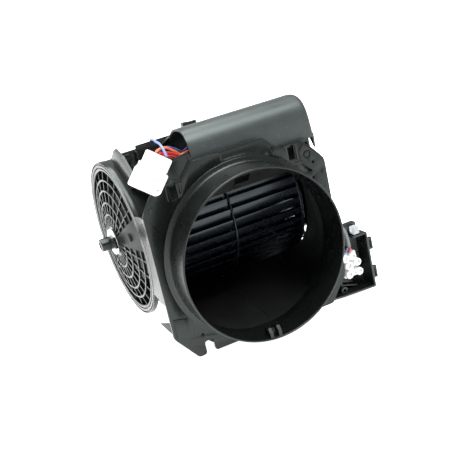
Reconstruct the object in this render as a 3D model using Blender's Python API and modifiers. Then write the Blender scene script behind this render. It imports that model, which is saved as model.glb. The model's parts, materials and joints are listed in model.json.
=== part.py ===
"""A cooker-hood blower: scroll housing, double-inlet wheel, motor, outlet collar and wiring.

Run it with: blender --background --python part.py

The frame: the origin is the outlet's centre on the front plate's face, -Y points out of the
outlet, +X runs along the wheel's shaft and +Z is up. Helper functions take millimetres and
make Blender's metres from them.
"""

import math

import bmesh
import bpy
from mathutils import Matrix, Vector

MM = 0.001
GAP = 0.3                      # left between pieces that touch

# Driving dimensions, in millimetres.
DUCT_R = 75.0                  # outside of the outlet collar, for a 150 mm duct
DUCT_WALL = 1.8
COLLAR_LENGTH = 31.5
ROTOR_Y = 88.0                 # the shaft's distance behind the front plate's face
ROTOR_Z = 17.7                 # and its height above the outlet's centre
PLATE_HALF = 86.0
PLATE_THICK = 2.4
PLATE_HOLE_R = DUCT_R + 0.4
PLATE_BACK = 5.0               # end of the screw bosses behind the plate
EAR_THICK = 2.4
SEAM = 6.0                     # where the housing's halves meet
WALL = 2.0
CASE_LEFT = -68.0              # outer faces of the housing's two side walls
CASE_RIGHT = 76.0
CASE_BOTTOM_R = 45.0           # rounding of the housing's lower edges
INLET_EYE_R = 60.0
RIM_R = 72.0                   # inlet ring's outer radius
RIM_FACE = 86.0                # inlet ring's face, from the middle plane
GRILLE_R = 64.0                # radius of the grille inside the ring
DOME_RISE = 7.0
RIB_COUNT = 24
HUB_R = 14.0
WHEEL_R = 63.0
BLADE_ROOT_R = 52.0
BLADE_COUNT = 40
WHEEL_MIDDLE = 1.0             # the wheel's disc, near the housing's middle
DISC_HALF = 0.6
WHEEL_LEFT = -62.0
WHEEL_RIGHT = 70.0
SHAFT_R = 4.0
WIRE_D = 2.0

COLLECTION = "cooker_hood_blower"
CUTTERS = "cutters"

# Where a flat outline or a turned profile stands: its depth or its axis is local Z.
FACING = {
    "x": Matrix(((0, 0, 1, 0), (1, 0, 0, 0), (0, 1, 0, 0), (0, 0, 0, 1))),
    "y": Matrix(((1, 0, 0, 0), (0, 0, -1, 0), (0, 1, 0, 0), (0, 0, 0, 1))),
    "z": Matrix.Identity(4),
}
ROTOR = Matrix.Translation((0, ROTOR_Y * MM, ROTOR_Z * MM))


# ---------------------------------------------------------------- scene and materials

def clear_scene():
    for old in list(bpy.data.objects):
        bpy.data.objects.remove(old, do_unlink=True)
    for name in (COLLECTION, CUTTERS):
        collection = bpy.data.collections.new(name)
        bpy.context.scene.collection.children.link(collection)


def material(name, colour, roughness, metallic=0.0):
    made = bpy.data.materials.get(name)
    if made is None:
        made = bpy.data.materials.new(name)
        made.use_nodes = True
        shader = made.node_tree.nodes["Principled BSDF"]
        shader.inputs["Base Color"].default_value = (*colour, 1.0)
        shader.inputs["Roughness"].default_value = roughness
        shader.inputs["Metallic"].default_value = metallic
        made.diffuse_color = (*colour, 1.0)
    return made


def black_plastic():
    return material("black_plastic", (0.022, 0.024, 0.026), 0.34)


def grey_plastic():
    return material("grey_plastic", (0.05, 0.054, 0.058), 0.3)


def wheel_plastic():
    return material("wheel_plastic", (0.015, 0.017, 0.021), 0.4)


def white_nylon():
    return material("white_nylon", (0.85, 0.85, 0.83), 0.45)


def steel():
    return material("zinc_steel", (0.62, 0.63, 0.65), 0.35, 1.0)


def aluminium():
    return material("cast_aluminium", (0.55, 0.56, 0.57), 0.5, 1.0)


# ---------------------------------------------------------------- building blocks

def put(name, mesh, finish=None, matrix=None):
    """A new object in the model's collection."""
    made = bpy.data.objects.new(name, mesh)
    bpy.data.collections[COLLECTION].objects.link(made)
    if matrix is not None:
        made.matrix_world = matrix
    if finish is not None:
        mesh.materials.clear()
        mesh.materials.append(finish)
    return made


def baked(source, finish):
    """The object's evaluated shape as a plain closed mesh, in place of the object."""
    bpy.context.view_layer.update()
    graph = bpy.context.evaluated_depsgraph_get()
    mesh = bpy.data.meshes.new_from_object(source.evaluated_get(graph))
    shape = bmesh.new()
    shape.from_mesh(mesh)
    bmesh.ops.remove_doubles(shape, verts=shape.verts, dist=1e-6)
    bmesh.ops.recalc_face_normals(shape, faces=shape.faces)
    shape.to_mesh(mesh)
    shape.free()
    name, matrix = source.name, source.matrix_world.copy()
    bpy.data.objects.remove(source, do_unlink=True)
    return put(name, mesh, finish, matrix)


def smooth(obj, angle=35):
    obj.data.shade_smooth()
    obj.data.set_sharp_from_angle(angle=math.radians(angle))
    return obj


def box(name, low, high, finish=None):
    """A box between two corners."""
    size = [(b - a) * MM for a, b in zip(low, high)]
    middle = [(a + b) / 2 * MM for a, b in zip(low, high)]
    shape = bmesh.new()
    bmesh.ops.create_cube(shape, size=1, matrix=Matrix.Diagonal((*size, 1)))
    mesh = bpy.data.meshes.new(name)
    shape.to_mesh(mesh)
    shape.free()
    return put(name, mesh, finish, Matrix.Translation(middle))


def rod(name, facing, centre, radius, low, high, finish=None, sides=24):
    """A cylinder from low to high along the facing's axis; centre is its two other places."""
    u, v = centre
    shape = bmesh.new()
    bmesh.ops.create_cone(
        shape, cap_ends=True, segments=sides, radius1=radius * MM, radius2=radius * MM,
        depth=(high - low) * MM,
    )
    mesh = bpy.data.meshes.new(name)
    shape.to_mesh(mesh)
    shape.free()
    middle = (low + high) / 2
    place = {"x": (middle, u, v), "y": (u, middle, v), "z": (u, v, middle)}[facing]
    matrix = Matrix.Translation(Vector(place) * MM) @ FACING[facing]
    return smooth(put(name, mesh, finish, matrix))


def prism(name, facing, outlines, low, high, finish=None):
    """A flat outline, with any holes, filled and extruded from low to high along the facing."""
    curve = bpy.data.curves.new(name, "CURVE")
    curve.dimensions = "2D"
    curve.fill_mode = "BOTH"
    curve.extrude = (high - low) / 2 * MM
    for outline in outlines:
        spline = curve.splines.new("POLY")
        spline.points.add(len(outline) - 1)
        for spot, (u, v) in zip(spline.points, outline):
            spot.co = (u * MM, v * MM, 0, 1)
        spline.use_cyclic_u = True
    middle = (low + high) / 2 * MM
    place = {"x": (middle, 0, 0), "y": (0, middle, 0), "z": (0, 0, middle)}[facing]
    made = put(name, curve, None, Matrix.Translation(place) @ FACING[facing])
    return baked(made, finish)


def sheet(name, path, low, high, thickness, finish=None):
    """An open path in the YZ plane, drawn out along X and given a thickness."""
    curve = bpy.data.curves.new(name, "CURVE")
    curve.dimensions = "2D"
    curve.fill_mode = "NONE"
    curve.extrude = (high - low) / 2 * MM
    spline = curve.splines.new("POLY")
    spline.points.add(len(path) - 1)
    for spot, (u, v) in zip(spline.points, path):
        spot.co = (u * MM, v * MM, 0, 1)
    place = ((low + high) / 2 * MM, 0, 0)
    made = baked(put(name, curve, None, Matrix.Translation(place) @ FACING["x"]), finish)
    solid = made.modifiers.new("thickness", "SOLIDIFY")
    solid.thickness = thickness * MM
    solid.offset = -1.0
    solid.use_even_offset = True
    return baked(made, finish)


def turned(name, profile, place, finish=None, steps=48, closed=True):
    """A profile of (radius, height) points turned about the place's local Z axis."""
    mesh = bpy.data.meshes.new(name)
    points = [(radius * MM, 0, height * MM) for radius, height in profile]
    edges = [(i, i + 1) for i in range(len(points) - 1)]
    if closed:
        edges.append((len(points) - 1, 0))
    mesh.from_pydata(points, edges, [])
    made = put(name, mesh, None, place)
    screw = made.modifiers.new("turn", "SCREW")
    screw.steps = steps
    screw.render_steps = steps
    screw.use_merge_vertices = True
    screw.merge_threshold = 0.00001
    return smooth(baked(made, finish))


def turned_x(name, profile, finish=None, steps=48, closed=True):
    """A profile turned about the shaft's axis, with its heights as places along X."""
    return turned(name, profile, ROTOR @ FACING["x"], finish, steps, closed)


def ring_x(name, inner, outer, low, high, finish=None, steps=48):
    profile = [(inner, high), (outer, high), (outer, low), (inner, low)]
    return turned_x(name, profile, finish, steps)


def joined(name, pieces):
    """Several separate shapes as one mesh, to use in a Boolean."""
    shape = bmesh.new()
    for piece in pieces:
        bpy.context.view_layer.update()
        mesh = piece.data.copy()
        mesh.transform(piece.matrix_world)
        shape.from_mesh(mesh)
        bpy.data.objects.remove(piece, do_unlink=True)
    mesh = bpy.data.meshes.new(name)
    shape.to_mesh(mesh)
    shape.free()
    return put(name, mesh)


def combine(target, tool, operation):
    bpy.context.view_layer.update()
    bpy.data.collections[COLLECTION].objects.unlink(tool)
    bpy.data.collections[CUTTERS].objects.link(tool)
    tool.hide_render = True
    tool.display_type = "WIRE"
    step = target.modifiers.new(tool.name, "BOOLEAN")
    step.operation = operation
    step.solver = "EXACT"
    step.object = tool
    return target


def unite(target, *tools):
    for tool in tools:
        combine(target, tool, "UNION")
    return target


def cut(target, *tools):
    for tool in tools:
        combine(target, tool, "DIFFERENCE")
    return target


def turned_about_x(obj, degrees):
    """The object turned about the shaft's axis, by the right-hand rule about +X."""
    bpy.context.view_layer.update()
    spin = ROTOR @ Matrix.Rotation(math.radians(degrees), 4, "X") @ ROTOR.inverted()
    obj.matrix_world = spin @ obj.matrix_world
    return obj


def circle(radius, count, centre=(0.0, 0.0)):
    step = 2 * math.pi / count
    return [
        (centre[0] + radius * math.cos(i * step), centre[1] + radius * math.sin(i * step))
        for i in range(count)
    ]


def smooth_route(points, spacing):
    """Places at an even spacing along a smooth curve through the points."""
    spots = [Vector(p) for p in points]
    spots = [2 * spots[0] - spots[1]] + spots + [2 * spots[-1] - spots[-2]]
    fine = []
    for a, b, c, d in zip(spots, spots[1:], spots[2:], spots[3:]):
        for i in range(24):
            t = i / 24
            fine.append(
                0.5 * (2 * b + (c - a) * t + (2 * a - 5 * b + 4 * c - d) * t ** 2
                       + (3 * b - a - 3 * c + d) * t ** 3)
            )
    fine.append(spots[-2])
    lengths = [(q - p).length for p, q in zip(fine, fine[1:])]
    count = max(4, round(sum(lengths) / spacing))
    step = sum(lengths) / count
    route, covered, wanted = [fine[0]], 0.0, step
    for p, q, length in zip(fine, fine[1:], lengths):
        while covered + length >= wanted - 1e-9 and len(route) < count:
            route.append(p.lerp(q, (wanted - covered) / length))
            wanted += step
        covered += length
    return route + [fine[-1]]


def wire(name, points, diameter, finish):
    """A round wire along a smooth curve through the points."""
    route = smooth_route(points, 2.5 * diameter)
    curve = bpy.data.curves.new(name, "CURVE")
    curve.dimensions = "3D"
    curve.bevel_depth = diameter / 2 * MM
    curve.bevel_resolution = 2
    curve.use_fill_caps = True
    spline = curve.splines.new("POLY")
    spline.points.add(len(route) - 1)
    for spot, place in zip(spline.points, route):
        spot.co = (*(place * MM), 1)
    made = put(name, curve)
    curve.materials.append(finish)
    return made


# ---------------------------------------------------------------- housing

def front_plate():
    """The flat front, with the duct's hole, two slots, two cheeks and four blind screw bosses."""
    left = [
        (-52, -78), (-52, -66.5), (-60.5, -66.5), (-60.5, -78), (-68, -78.5), (-PLATE_HALF, -54.5),
        (-PLATE_HALF, 56.5), (-76, 71.5), (-63, 76.5), (-57, 80), (-56, 94.3), (-35, 96.5), (-34, 89.5),
    ]
    right = [
        (32, 89), (42, 79), (48, 75.5), (63, 76.5), (76, 73.5), (PLATE_HALF, 54), (PLATE_HALF, -54.5),
        (68, -78.5),
    ]
    slots = [
        [(side * u, v) for u, v in ((52.5, 62.7), (58.5, 62.7), (58.5, 75.2), (52.5, 75.2))]
        for side in (-1, 1)
    ]
    outlines = [left + right, circle(PLATE_HOLE_R, 64), *slots]
    plate = prism("front_plate", "y", outlines, 0, PLATE_THICK, black_plastic())
    for side, word in ((-1, "left"), (1, "right")):
        edges = sorted((side * PLATE_HALF, side * (PLATE_HALF - 2)))
        web = prism(f"cheek_{word}", "x", [[(1.2, -24), (40, -17), (40, 50), (1.2, 56)]], *edges)
        reach = sorted((side * (PLATE_HALF + 3), side * (PLATE_HALF - 5)))
        clearance = rod(f"cheek_clearance_{word}", "x", (ROTOR_Y, ROTOR_Z), RIM_R + 0.5, *reach,
                        sides=64)
        cut(web, clearance)
        unite(plate, web)
    fin = prism("lower_fin", "x", [[(1.2, -40), (38, -52), (1.2, -52.5)]], -84.6, -83)
    unite(plate, fin)
    for i, spot in enumerate(plate_screw_places()):
        unite(plate, rod(f"plate_boss_{i}", "y", spot, 3.1, 1.2, PLATE_BACK, sides=20))
        cut(plate, rod(f"plate_pilot_{i}", "y", spot, 1.7, 1.6, PLATE_BACK + 2, sides=12))
    return plate


def plate_screw_places():
    return [(-77.5, 44), (-77.5, -34), (79.5, 44), (79.5, -34)]


def outlet_collar():
    """The round duct spigot: a thin tube with a flange on the plate and a catch inside it."""
    inner = DUCT_R - DUCT_WALL
    profile = [
        (inner, COLLAR_LENGTH), (DUCT_R, COLLAR_LENGTH), (DUCT_R, 5.0), (77.6, GAP + 2.0),
        (80, GAP + 1.8), (80, GAP), (DUCT_R, GAP), (DUCT_R, -2.0), (inner, -2.0),
    ]
    collar = turned("outlet_collar", profile, FACING["y"], black_plastic(), steps=48)
    prongs = [
        box(f"catch_prong_{i}", (x, -COLLAR_LENGTH + 1, -inner - 0.9), (x + 3, -20, -inner + 9))
        for i, x in enumerate((-12, -4))
    ]
    bridge = box("catch_bridge", (-12, -23, -inner - 0.9), (-1, -20.5, -inner + 6))
    return unite(collar, *prongs, bridge)


SCROLL_START, SCROLL_END = 24.5, 261.0      # degrees from the front, over the top


def scroll_radius(angle):
    """The housing's inner radius, which opens from the tongue to the outlet's far wall."""
    return 67.5 + 8.0 * (angle - SCROLL_START) / (SCROLL_END - SCROLL_START)


def scroll_point(radius, angle):
    turn = math.radians(angle)
    return (ROTOR_Y - radius * math.cos(turn), ROTOR_Z + radius * math.sin(turn))


def scroll_outline(offset):
    """The housing seen along the shaft; offset 0 is its inside and WALL is its outside."""
    count = 24
    start = SCROLL_START + 1.25 * offset
    angles = [SCROLL_END + (start - SCROLL_END) * i / count for i in range(count + 1)]
    spiral = [scroll_point(scroll_radius(angle) + offset, angle) for angle in angles]
    front = -5.0 if offset == 0 else PLATE_THICK + GAP
    foot, slope = spiral[0], math.tan(math.radians(270 - SCROLL_END))
    low_front = (front, foot[1] - (foot[0] - front) * slope)
    throat_top = [(3.0, 73.2), (front, 73.2)] if offset == 0 else [(front, 76.2)]
    return [low_front] + spiral + throat_top


def housing_section(offset):
    """The housing seen from the front, with its two lower edges rounded."""
    radius = CASE_BOTTOM_R - offset
    left, right, bottom, top = CASE_LEFT + offset, CASE_RIGHT - offset, -82.0 + offset, 100.0
    outline = [(left, top)]
    for centre, first in ((left + radius, 180), (right - radius, 270)):
        for i in range(9):
            turn = math.radians(first + 90 * i / 8)
            outline.append((centre + radius * math.cos(turn), bottom + radius + radius * math.sin(turn)))
    return outline + [(right, top)]


def scroll_shell(side, word):
    """One half of the scroll housing, with its ear for the plate; the left has the cover's hook."""
    outer = (CASE_LEFT, SEAM - GAP / 2) if side < 0 else (SEAM + GAP / 2, CASE_RIGHT)
    inner = (CASE_LEFT + WALL, SEAM + 5) if side < 0 else (SEAM - 5, CASE_RIGHT - WALL)
    name = f"scroll_shell_{word}"
    shell = prism(name, "x", [scroll_outline(WALL)], *outer, black_plastic())
    around = prism(f"{name}_section", "y", [housing_section(0)], -10, 190)
    combine(shell, around, "INTERSECT")
    space = prism(f"{name}_space", "x", [scroll_outline(0)], *inner)
    space_section = prism(f"{name}_space_section", "y", [housing_section(WALL)], -10, 190)
    combine(space, space_section, "INTERSECT")
    wall = (CASE_LEFT - 3, CASE_LEFT + 5) if side < 0 else (CASE_RIGHT - 5, CASE_RIGHT + 3)
    eye = rod(f"{name}_eye", "x", (ROTOR_Y, ROTOR_Z), INLET_EYE_R, *wall, sides=56)
    cut(shell, space, eye)
    reach = (-82.6, CASE_LEFT + 0.5) if side < 0 else (CASE_RIGHT - 0.5, 83.5)
    front = PLATE_BACK + GAP
    ear = box(f"{name}_ear", (reach[0], front, -42), (reach[1], front + EAR_THICK, 52))
    unite(shell, ear)
    for u, v in plate_screw_places():
        if u * side > 0:
            cut(shell, rod(f"{name}_hole_{v}", "y", (u, v), 1.7, 0, 12, sides=12))
    if side < 0:
        hook = box(f"{name}_hook", (-13, 60, 82), (0, 61.8, 108))
        unite(shell, hook, box(f"{name}_hook_end", (-13, 60, 104.5), (-7.5, 65.5, 108)))
    return shell


def dome_height(radius):
    """The grille's distance from the middle plane, which rises towards the hub."""
    return RIM_FACE - 1.0 + DOME_RISE * (1 - (radius / GRILLE_R) ** 2)


def inlet_grille(side, word):
    """An inlet ring with its bell mouth and a domed grille of rings and ribs."""
    name = f"inlet_grille_{word}"
    back = (abs(CASE_LEFT) if side < 0 else CASE_RIGHT) + GAP
    rim = [
        (GRILLE_R, RIM_FACE), (71.0, RIM_FACE), (RIM_R, RIM_FACE - 1), (RIM_R, 81.8),
        (66.4, 81.2), (62.4, back), (60.4, back), (GRILLE_R, 80.0),
    ]
    place = ROTOR @ FACING["x"]
    if side < 0:
        place = place @ Matrix.Rotation(math.pi, 4, "Y")
    grille = turned(name, rim, place, black_plastic(), steps=36)
    rings = []
    for i, radius in enumerate((24.7, 35.4, 46.1, 55.5)):
        top = dome_height(radius)
        section = [(radius - 0.8, top), (radius + 0.8, top), (radius + 0.8, top - 1.3),
                   (radius - 0.8, top - 1.3)]
        rings.append(turned(f"{name}_ring_{i}", section, place, steps=RIB_COUNT))
    top = dome_height(HUB_R)
    hub = [(5.0, top), (HUB_R, top), (HUB_R, top - 2.7), (5.0, top - 2.7)]
    rings.append(turned(f"{name}_hub", hub, place, steps=RIB_COUNT))
    unite(grille, joined(f"{name}_rings", rings))
    unite(grille, grille_ribs(name, side))
    if side < 0:
        unite(grille, grille_sector(name, place, (2, 15.5, 29)), rim_band(name, place, back))
    else:
        unite(grille, grille_centre(name, place), grille_sector(name, place, (-92, -112, -131, -150)))
    return grille


def grille_ribs(name, side):
    """The grille's radial ribs, which follow the dome a little below its rings."""
    spots = (HUB_R - 1.5, 38.0, GRILLE_R + 1.5)
    over = [(side * (dome_height(r) - 0.9), ROTOR_Z + r) for r in spots]
    under = [(side * (dome_height(r) - 2.8), ROTOR_Z + r) for r in reversed(spots)]
    ribs = []
    for i in range(RIB_COUNT):
        rib = prism(f"{name}_rib_{i}", "y", [over + under], ROTOR_Y - 0.65, ROTOR_Y + 0.65)
        ribs.append(turned_about_x(rib, (i + 0.5) * 360 / RIB_COUNT))
    return joined(f"{name}_ribs", ribs)


def wedge_between(angles, reach):
    """A fan-shaped outline round the shaft, from the first angle to the last."""
    return [(ROTOR_Y, ROTOR_Z)] + [scroll_point(reach, angle) for angle in angles]


def rim_band(name, place, back):
    """The band behind the left inlet ring that joins it to the housing, over the top and in front."""
    profile = [(RIM_R - 6, back), (RIM_R - 6, 81.5), (RIM_R, 82.0), (RIM_R, back)]
    band = turned(f"{name}_band", profile[::-1], place, steps=36)
    fan = wedge_between((-36, 0, 45, 90, 135, 180), 110)
    return combine(band, prism(f"{name}_band_reach", "x", [fan], -100, -60), "INTERSECT")


def grille_sector(name, place, angles):
    """A closed sector of a grille."""
    spots = (HUB_R - 1.8, 30.0, 47.0, GRILLE_R + 2)
    over = [(r, dome_height(r) + 0.5) for r in spots]
    under = [(r, dome_height(r) - 2.0) for r in reversed(spots)]
    plate = turned(f"{name}_sector", over + under, place, steps=40)
    wedge = prism(f"{name}_wedge", "x", [wedge_between(angles, 80)], -100, 100)
    return combine(plate, wedge, "INTERSECT")


def grille_centre(name, place):
    """The closed middle of the right grille."""
    spots = (HUB_R - 1.8, 29.0, 46.9)
    over = [(r, dome_height(r) - 1.0) for r in spots]
    under = [(r, dome_height(r) - 2.6) for r in reversed(spots)]
    return turned(f"{name}_centre", over + under, place, steps=RIB_COUNT)


def motor_mount_boss():
    """The dark spigot in the middle of the left grille, which the motor hangs on."""
    profile = [(0, -78.8), (4.6, -78.8), (4.6, -95.3), (6, -95.3), (6, -105), (5, -106), (0, -106)]
    boss = turned_x("motor_mount_boss", profile, black_plastic(), steps=24, closed=False)
    arm = box("boss_arm", (-98, ROTOR_Y - 20, ROTOR_Z - 5), (-95.3, ROTOR_Y - 2, ROTOR_Z + 5))
    return unite(boss, turned_about_x(arm, -12))


def hub_pieces():
    """The white cushion under the boss, and the plug in the right grille's hub."""
    ring_x("hub_cushion", 5.0, HUB_R - 2.2, -95.0, -92.6, white_nylon(), steps=24)
    profile = [(0, 95), (8, 95), (8, 92), (4.6, 92), (4.6, 86), (0, 86)]
    turned_x("hub_plug_right", profile, black_plastic(), steps=24, closed=False)


# ---------------------------------------------------------------- motor and wheel

def motor():
    """The induction motor inside the wheel's left half; only its rotor turns."""
    left = [
        (5, -78.5), (41, -78.5), (43, -76.5), (43, -46), (40.4, -46), (40.4, -76), (HUB_R, -76),
        (HUB_R, -69), (11.3, -69), (11.3, -76), (5, -76),
    ]
    right = [
        (5, -12), (5, -14.5), (11.3, -14.5), (11.3, -21.5), (HUB_R, -21.5), (HUB_R, -14.5),
        (40.4, -14.5), (40.4, -38), (43, -38), (43, -14), (41, -12),
    ]
    turned_x("motor_end_left", left, aluminium(), steps=28)
    turned_x("motor_end_right", right, aluminium(), steps=28)
    ring_x("stator_core", 22.4, 39.8, -58, -26, material("core_steel", (0.3, 0.3, 0.31), 0.5, 1.0), 32)
    copper = material("copper_winding", (0.6, 0.24, 0.1), 0.4, 0.6)
    ring_x("winding_left", 24, 37, -68, -58 - GAP, copper, 32)
    ring_x("winding_right", 24, 37, -26 + GAP, -16.5, copper, 32)
    ring_x("bearing_left", SHAFT_R + GAP, 11, -75.7, -69.5, steel(), 24)
    ring_x("bearing_right", SHAFT_R + GAP, 11, -21, -14.8, steel(), 24)
    for i in range(3):
        angle = 90 + 120 * i
        place = scroll_point(9.5, angle)
        rod(f"motor_post_{i + 1}", "x", place, 2.5, -88.7, -78.8, steel(), sides=12)


def blade(name, low, high):
    """One forward-curved blade, at the top of the wheel."""
    half = 0.6
    spots = []
    for t in (0.0, 0.5, 1.0):
        radius = BLADE_ROOT_R + 0.4 + (WHEEL_R - 0.8 - BLADE_ROOT_R) * t
        spots.append((radius, math.radians(11 * t * t)))
    front = [(r * math.sin(a) + half, r * math.cos(a)) for r, a in spots]
    back = [(r * math.sin(a) - half, r * math.cos(a)) for r, a in reversed(spots)]
    outline = [(ROTOR_Y + u, ROTOR_Z + v) for u, v in front + back]
    return prism(name, "x", [outline], low, high)


def wheel_half(word, end, root):
    """Half of the blower wheel: an end ring, a narrower root ring by the disc, and the blades."""
    name = f"wheel_{word}"
    low, high = sorted((end, root))
    inside = BLADE_ROOT_R - 0.5
    ends = (end, end + 2.5) if end < root else (end - 2.5, end)
    roots = (root - 2.5, root) if end < root else (root, root + 2.5)
    wheel = ring_x(name, inside, WHEEL_R, *ends, wheel_plastic(), BLADE_COUNT)
    other = ring_x(f"{name}_ring", inside, BLADE_ROOT_R + 3.5, *roots, None, BLADE_COUNT)
    blades = [
        turned_about_x(blade(f"{name}_blade_{i}", low + 0.4, high - 0.4), 360 * i / BLADE_COUNT)
        for i in range(BLADE_COUNT)
    ]
    unite(wheel, joined(f"{name}_blades", blades))
    return unite(wheel, other)


def rotor():
    """Everything that turns: the shaft, the motor's rotor, and the wheel on its disc."""
    shaft = [(0, 24), (SHAFT_R - 0.5, 24), (SHAFT_R, 23.5), (SHAFT_R, -75.4), (0, -75.4)]
    turned_x("shaft", shaft, steel(), steps=24, closed=False)
    ring_x("rotor_core", SHAFT_R + GAP, 21.8, -58, -26, steel(), 24)
    disc = [
        (SHAFT_R + GAP, 13), (9, 13), (9, WHEEL_MIDDLE + DISC_HALF),
        (WHEEL_R, WHEEL_MIDDLE + DISC_HALF), (WHEEL_R, WHEEL_MIDDLE - DISC_HALF),
        (9, WHEEL_MIDDLE - DISC_HALF), (9, -8), (SHAFT_R + GAP, -8),
    ]
    turned_x("wheel_disc", disc, wheel_plastic(), steps=BLADE_COUNT)
    nut = [circle(7.0, 6, (ROTOR_Y, ROTOR_Z)), circle(SHAFT_R + GAP, 24, (ROTOR_Y, ROTOR_Z))]
    prism("wheel_nut", "x", nut, 13 + GAP, 18.5, steel())
    wheel_half("left", WHEEL_LEFT, WHEEL_MIDDLE - DISC_HALF - GAP)
    wheel_half("right", WHEEL_RIGHT, WHEEL_MIDDLE + DISC_HALF + GAP)


# ---------------------------------------------------------------- wiring and its covers

def wire_cover():
    """The half-round cover over the wiring on top, closed at its right end, with a tab there."""
    path = [
        (8, 74), (9, 84), (10.3, 93), (12.2, 99.5), (15.2, 104.7), (19.7, 108.6), (25.5, 110.6),
        (32, 110.9), (39.5, 109.8), (47, 106.6), (53, 101.5), (57, 95), (58.7, 85),
    ]
    cover = sheet("wire_cover", path, -30, 85, WALL, grey_plastic())
    end = prism("wire_cover_end", "x", [path], 83, 85)
    tab = prism("wire_cover_tab", "x", [[(8.6, 77), (16, 78), (15.2, 72.3), (9.4, 63.8)]], 83.2, 84.8)
    return unite(cover, end, tab)


def wire_trough():
    """The open channel to the left of the cover, which holds the loose wiring."""
    path = [(57, 102.5), (57, 88), (31, 86), (13, 77)]
    trough = sheet("wire_trough", path, -77, -31, 1.8, black_plastic())
    side = [(31.4, 74.4), (42, 70.7), (76.6, 93.4), (58.3, 104.9), (40.9, 99.3), (26.5, 87.5)]
    wall = prism("trough_side", "x", [side], -79, -76.4)
    cut(wall, rod("trough_side_clearance", "x", (ROTOR_Y, ROTOR_Z), RIM_R + 0.4, -82, -73, sides=64))
    unite(trough, wall)
    foot = box("trough_foot", (-50, 53, 83), (-46, 57.5, 88))
    return unite(trough, foot)


def capacitor():
    body = [(0, 46), (10.3, 46), (11.5, 44.7), (11.5, -10), (10.8, -10.8), (0, -10.8)]
    place = Matrix.Translation((0, 34.5 * MM, 94.5 * MM)) @ FACING["x"]
    finish = material("capacitor_plastic", (0.75, 0.76, 0.78), 0.4)
    return turned("capacitor", body, place, finish, steps=28, closed=False)


PLUG_FACE = Vector((-61.5, -6.2, 103.2))      # middle of the end that the wires enter
PLUG_IN = Vector((-0.644, 0, -0.765))         # from that end along the connector
PLUG_ACROSS = Vector((0.765, 0, -0.644))


def plug_place(along, across, y):
    return PLUG_FACE + PLUG_IN * along + PLUG_ACROSS * across + Vector((0, y, 0))


def connector():
    """A mated pair of white housings on the wires, lying against the front plate."""
    halves = (
        ("connector_plug", 0, 12, -10.3, 10.3, 4.6),
        ("connector_socket", 12 + GAP, 31.5, -13, 12.4, 5.2),
    )
    for name, low, high, left, right, half in halves:
        corners = ((low, left), (low, right), (high, right), (high, left))
        outline = [(plug_place(a, b, 0).x, plug_place(a, b, 0).z) for a, b in corners]
        y = PLUG_FACE.y
        prism(name, "y", [outline], y - half, y + half, white_nylon())


def wires():
    """The wires from the capacitor to the connector, and one from the housing's top to it."""
    from_capacitor = {
        "wire_violet": ((0.07, 0.05, 0.2), [
            (-12.4, 30, 99), (-22, 28.5, 95.5), (-30.5, 26.5, 92.2), (-35.9, 22, 95.9),
            (-41.8, 18, 99.9), (-47.5, 13.5, 102.8), (-52.5, 8.5, 103.4), (-57.5, 2.5, 104.6),
            plug_place(-1.3, -2.8, 2.6),
        ]),
        "wire_orange": ((0.75, 0.2, 0.06), [
            (-12.4, 32.2, 96.4), (-24, 26, 92.3), (-34.9, 20, 91.9), (-39.6, 17, 95.9),
            (-45.8, 12, 100.9), (-52, 5, 105), (-58.6, -2, 106.7), plug_place(-1.3, -4.3, -1.5),
        ]),
        "wire_red_upper": ((0.6, 0.03, 0.03), [
            (-12.4, 34.4, 93.8), (-26, 24, 88.6), (-36.5, 16.6, 90.6), (-42.6, 12, 95.7),
            (-50.6, 5.5, 100.3), (-56.6, 0.5, 102.4), plug_place(-1.3, 0, 1.0),
        ]),
        "wire_red_lower": ((0.62, 0.06, 0.04), [
            (-12.4, 36.6, 91.2), (-27, 21.5, 84.6), (-35.5, 14.4, 86.6), (-41, 11, 91), (-46.9, 7.5, 95.6),
            (-54.2, 2, 99.2), plug_place(-1.3, 2.6, 1.2),
        ]),
    }
    for name, (colour, route) in from_capacitor.items():
        wire(name, route, WIRE_D, material(name, colour, 0.35))
    over_the_wall = [
        (-45, 63, 89.4), (-45, 62.8, 96), (-45, 60, 101.8), (-45.4, 56, 104.2), (-47, 50, 104.8),
        (-48.9, 38, 106.2), (-51.9, 25, 107.2), (-54.2, 13, 108.6), (-56.2, 3, 109.2),
        (-57.2, -4, 107.9), (-57.4, -8, 104.6), plug_place(-1.3, 5.0, -2.8),
    ]
    finish = material("wire_light_blue", (0.4, 0.52, 0.85), 0.35)
    wire("wire_light_blue", over_the_wall, WIRE_D, finish)
    rod("wire_grommet", "z", (-45, 63), 2.8, 85.6, 89, white_nylon(), sides=20)


# ---------------------------------------------------------------- terminal tray

TRAY_FRONT, TRAY_BACK = 28.0, 50.0


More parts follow.
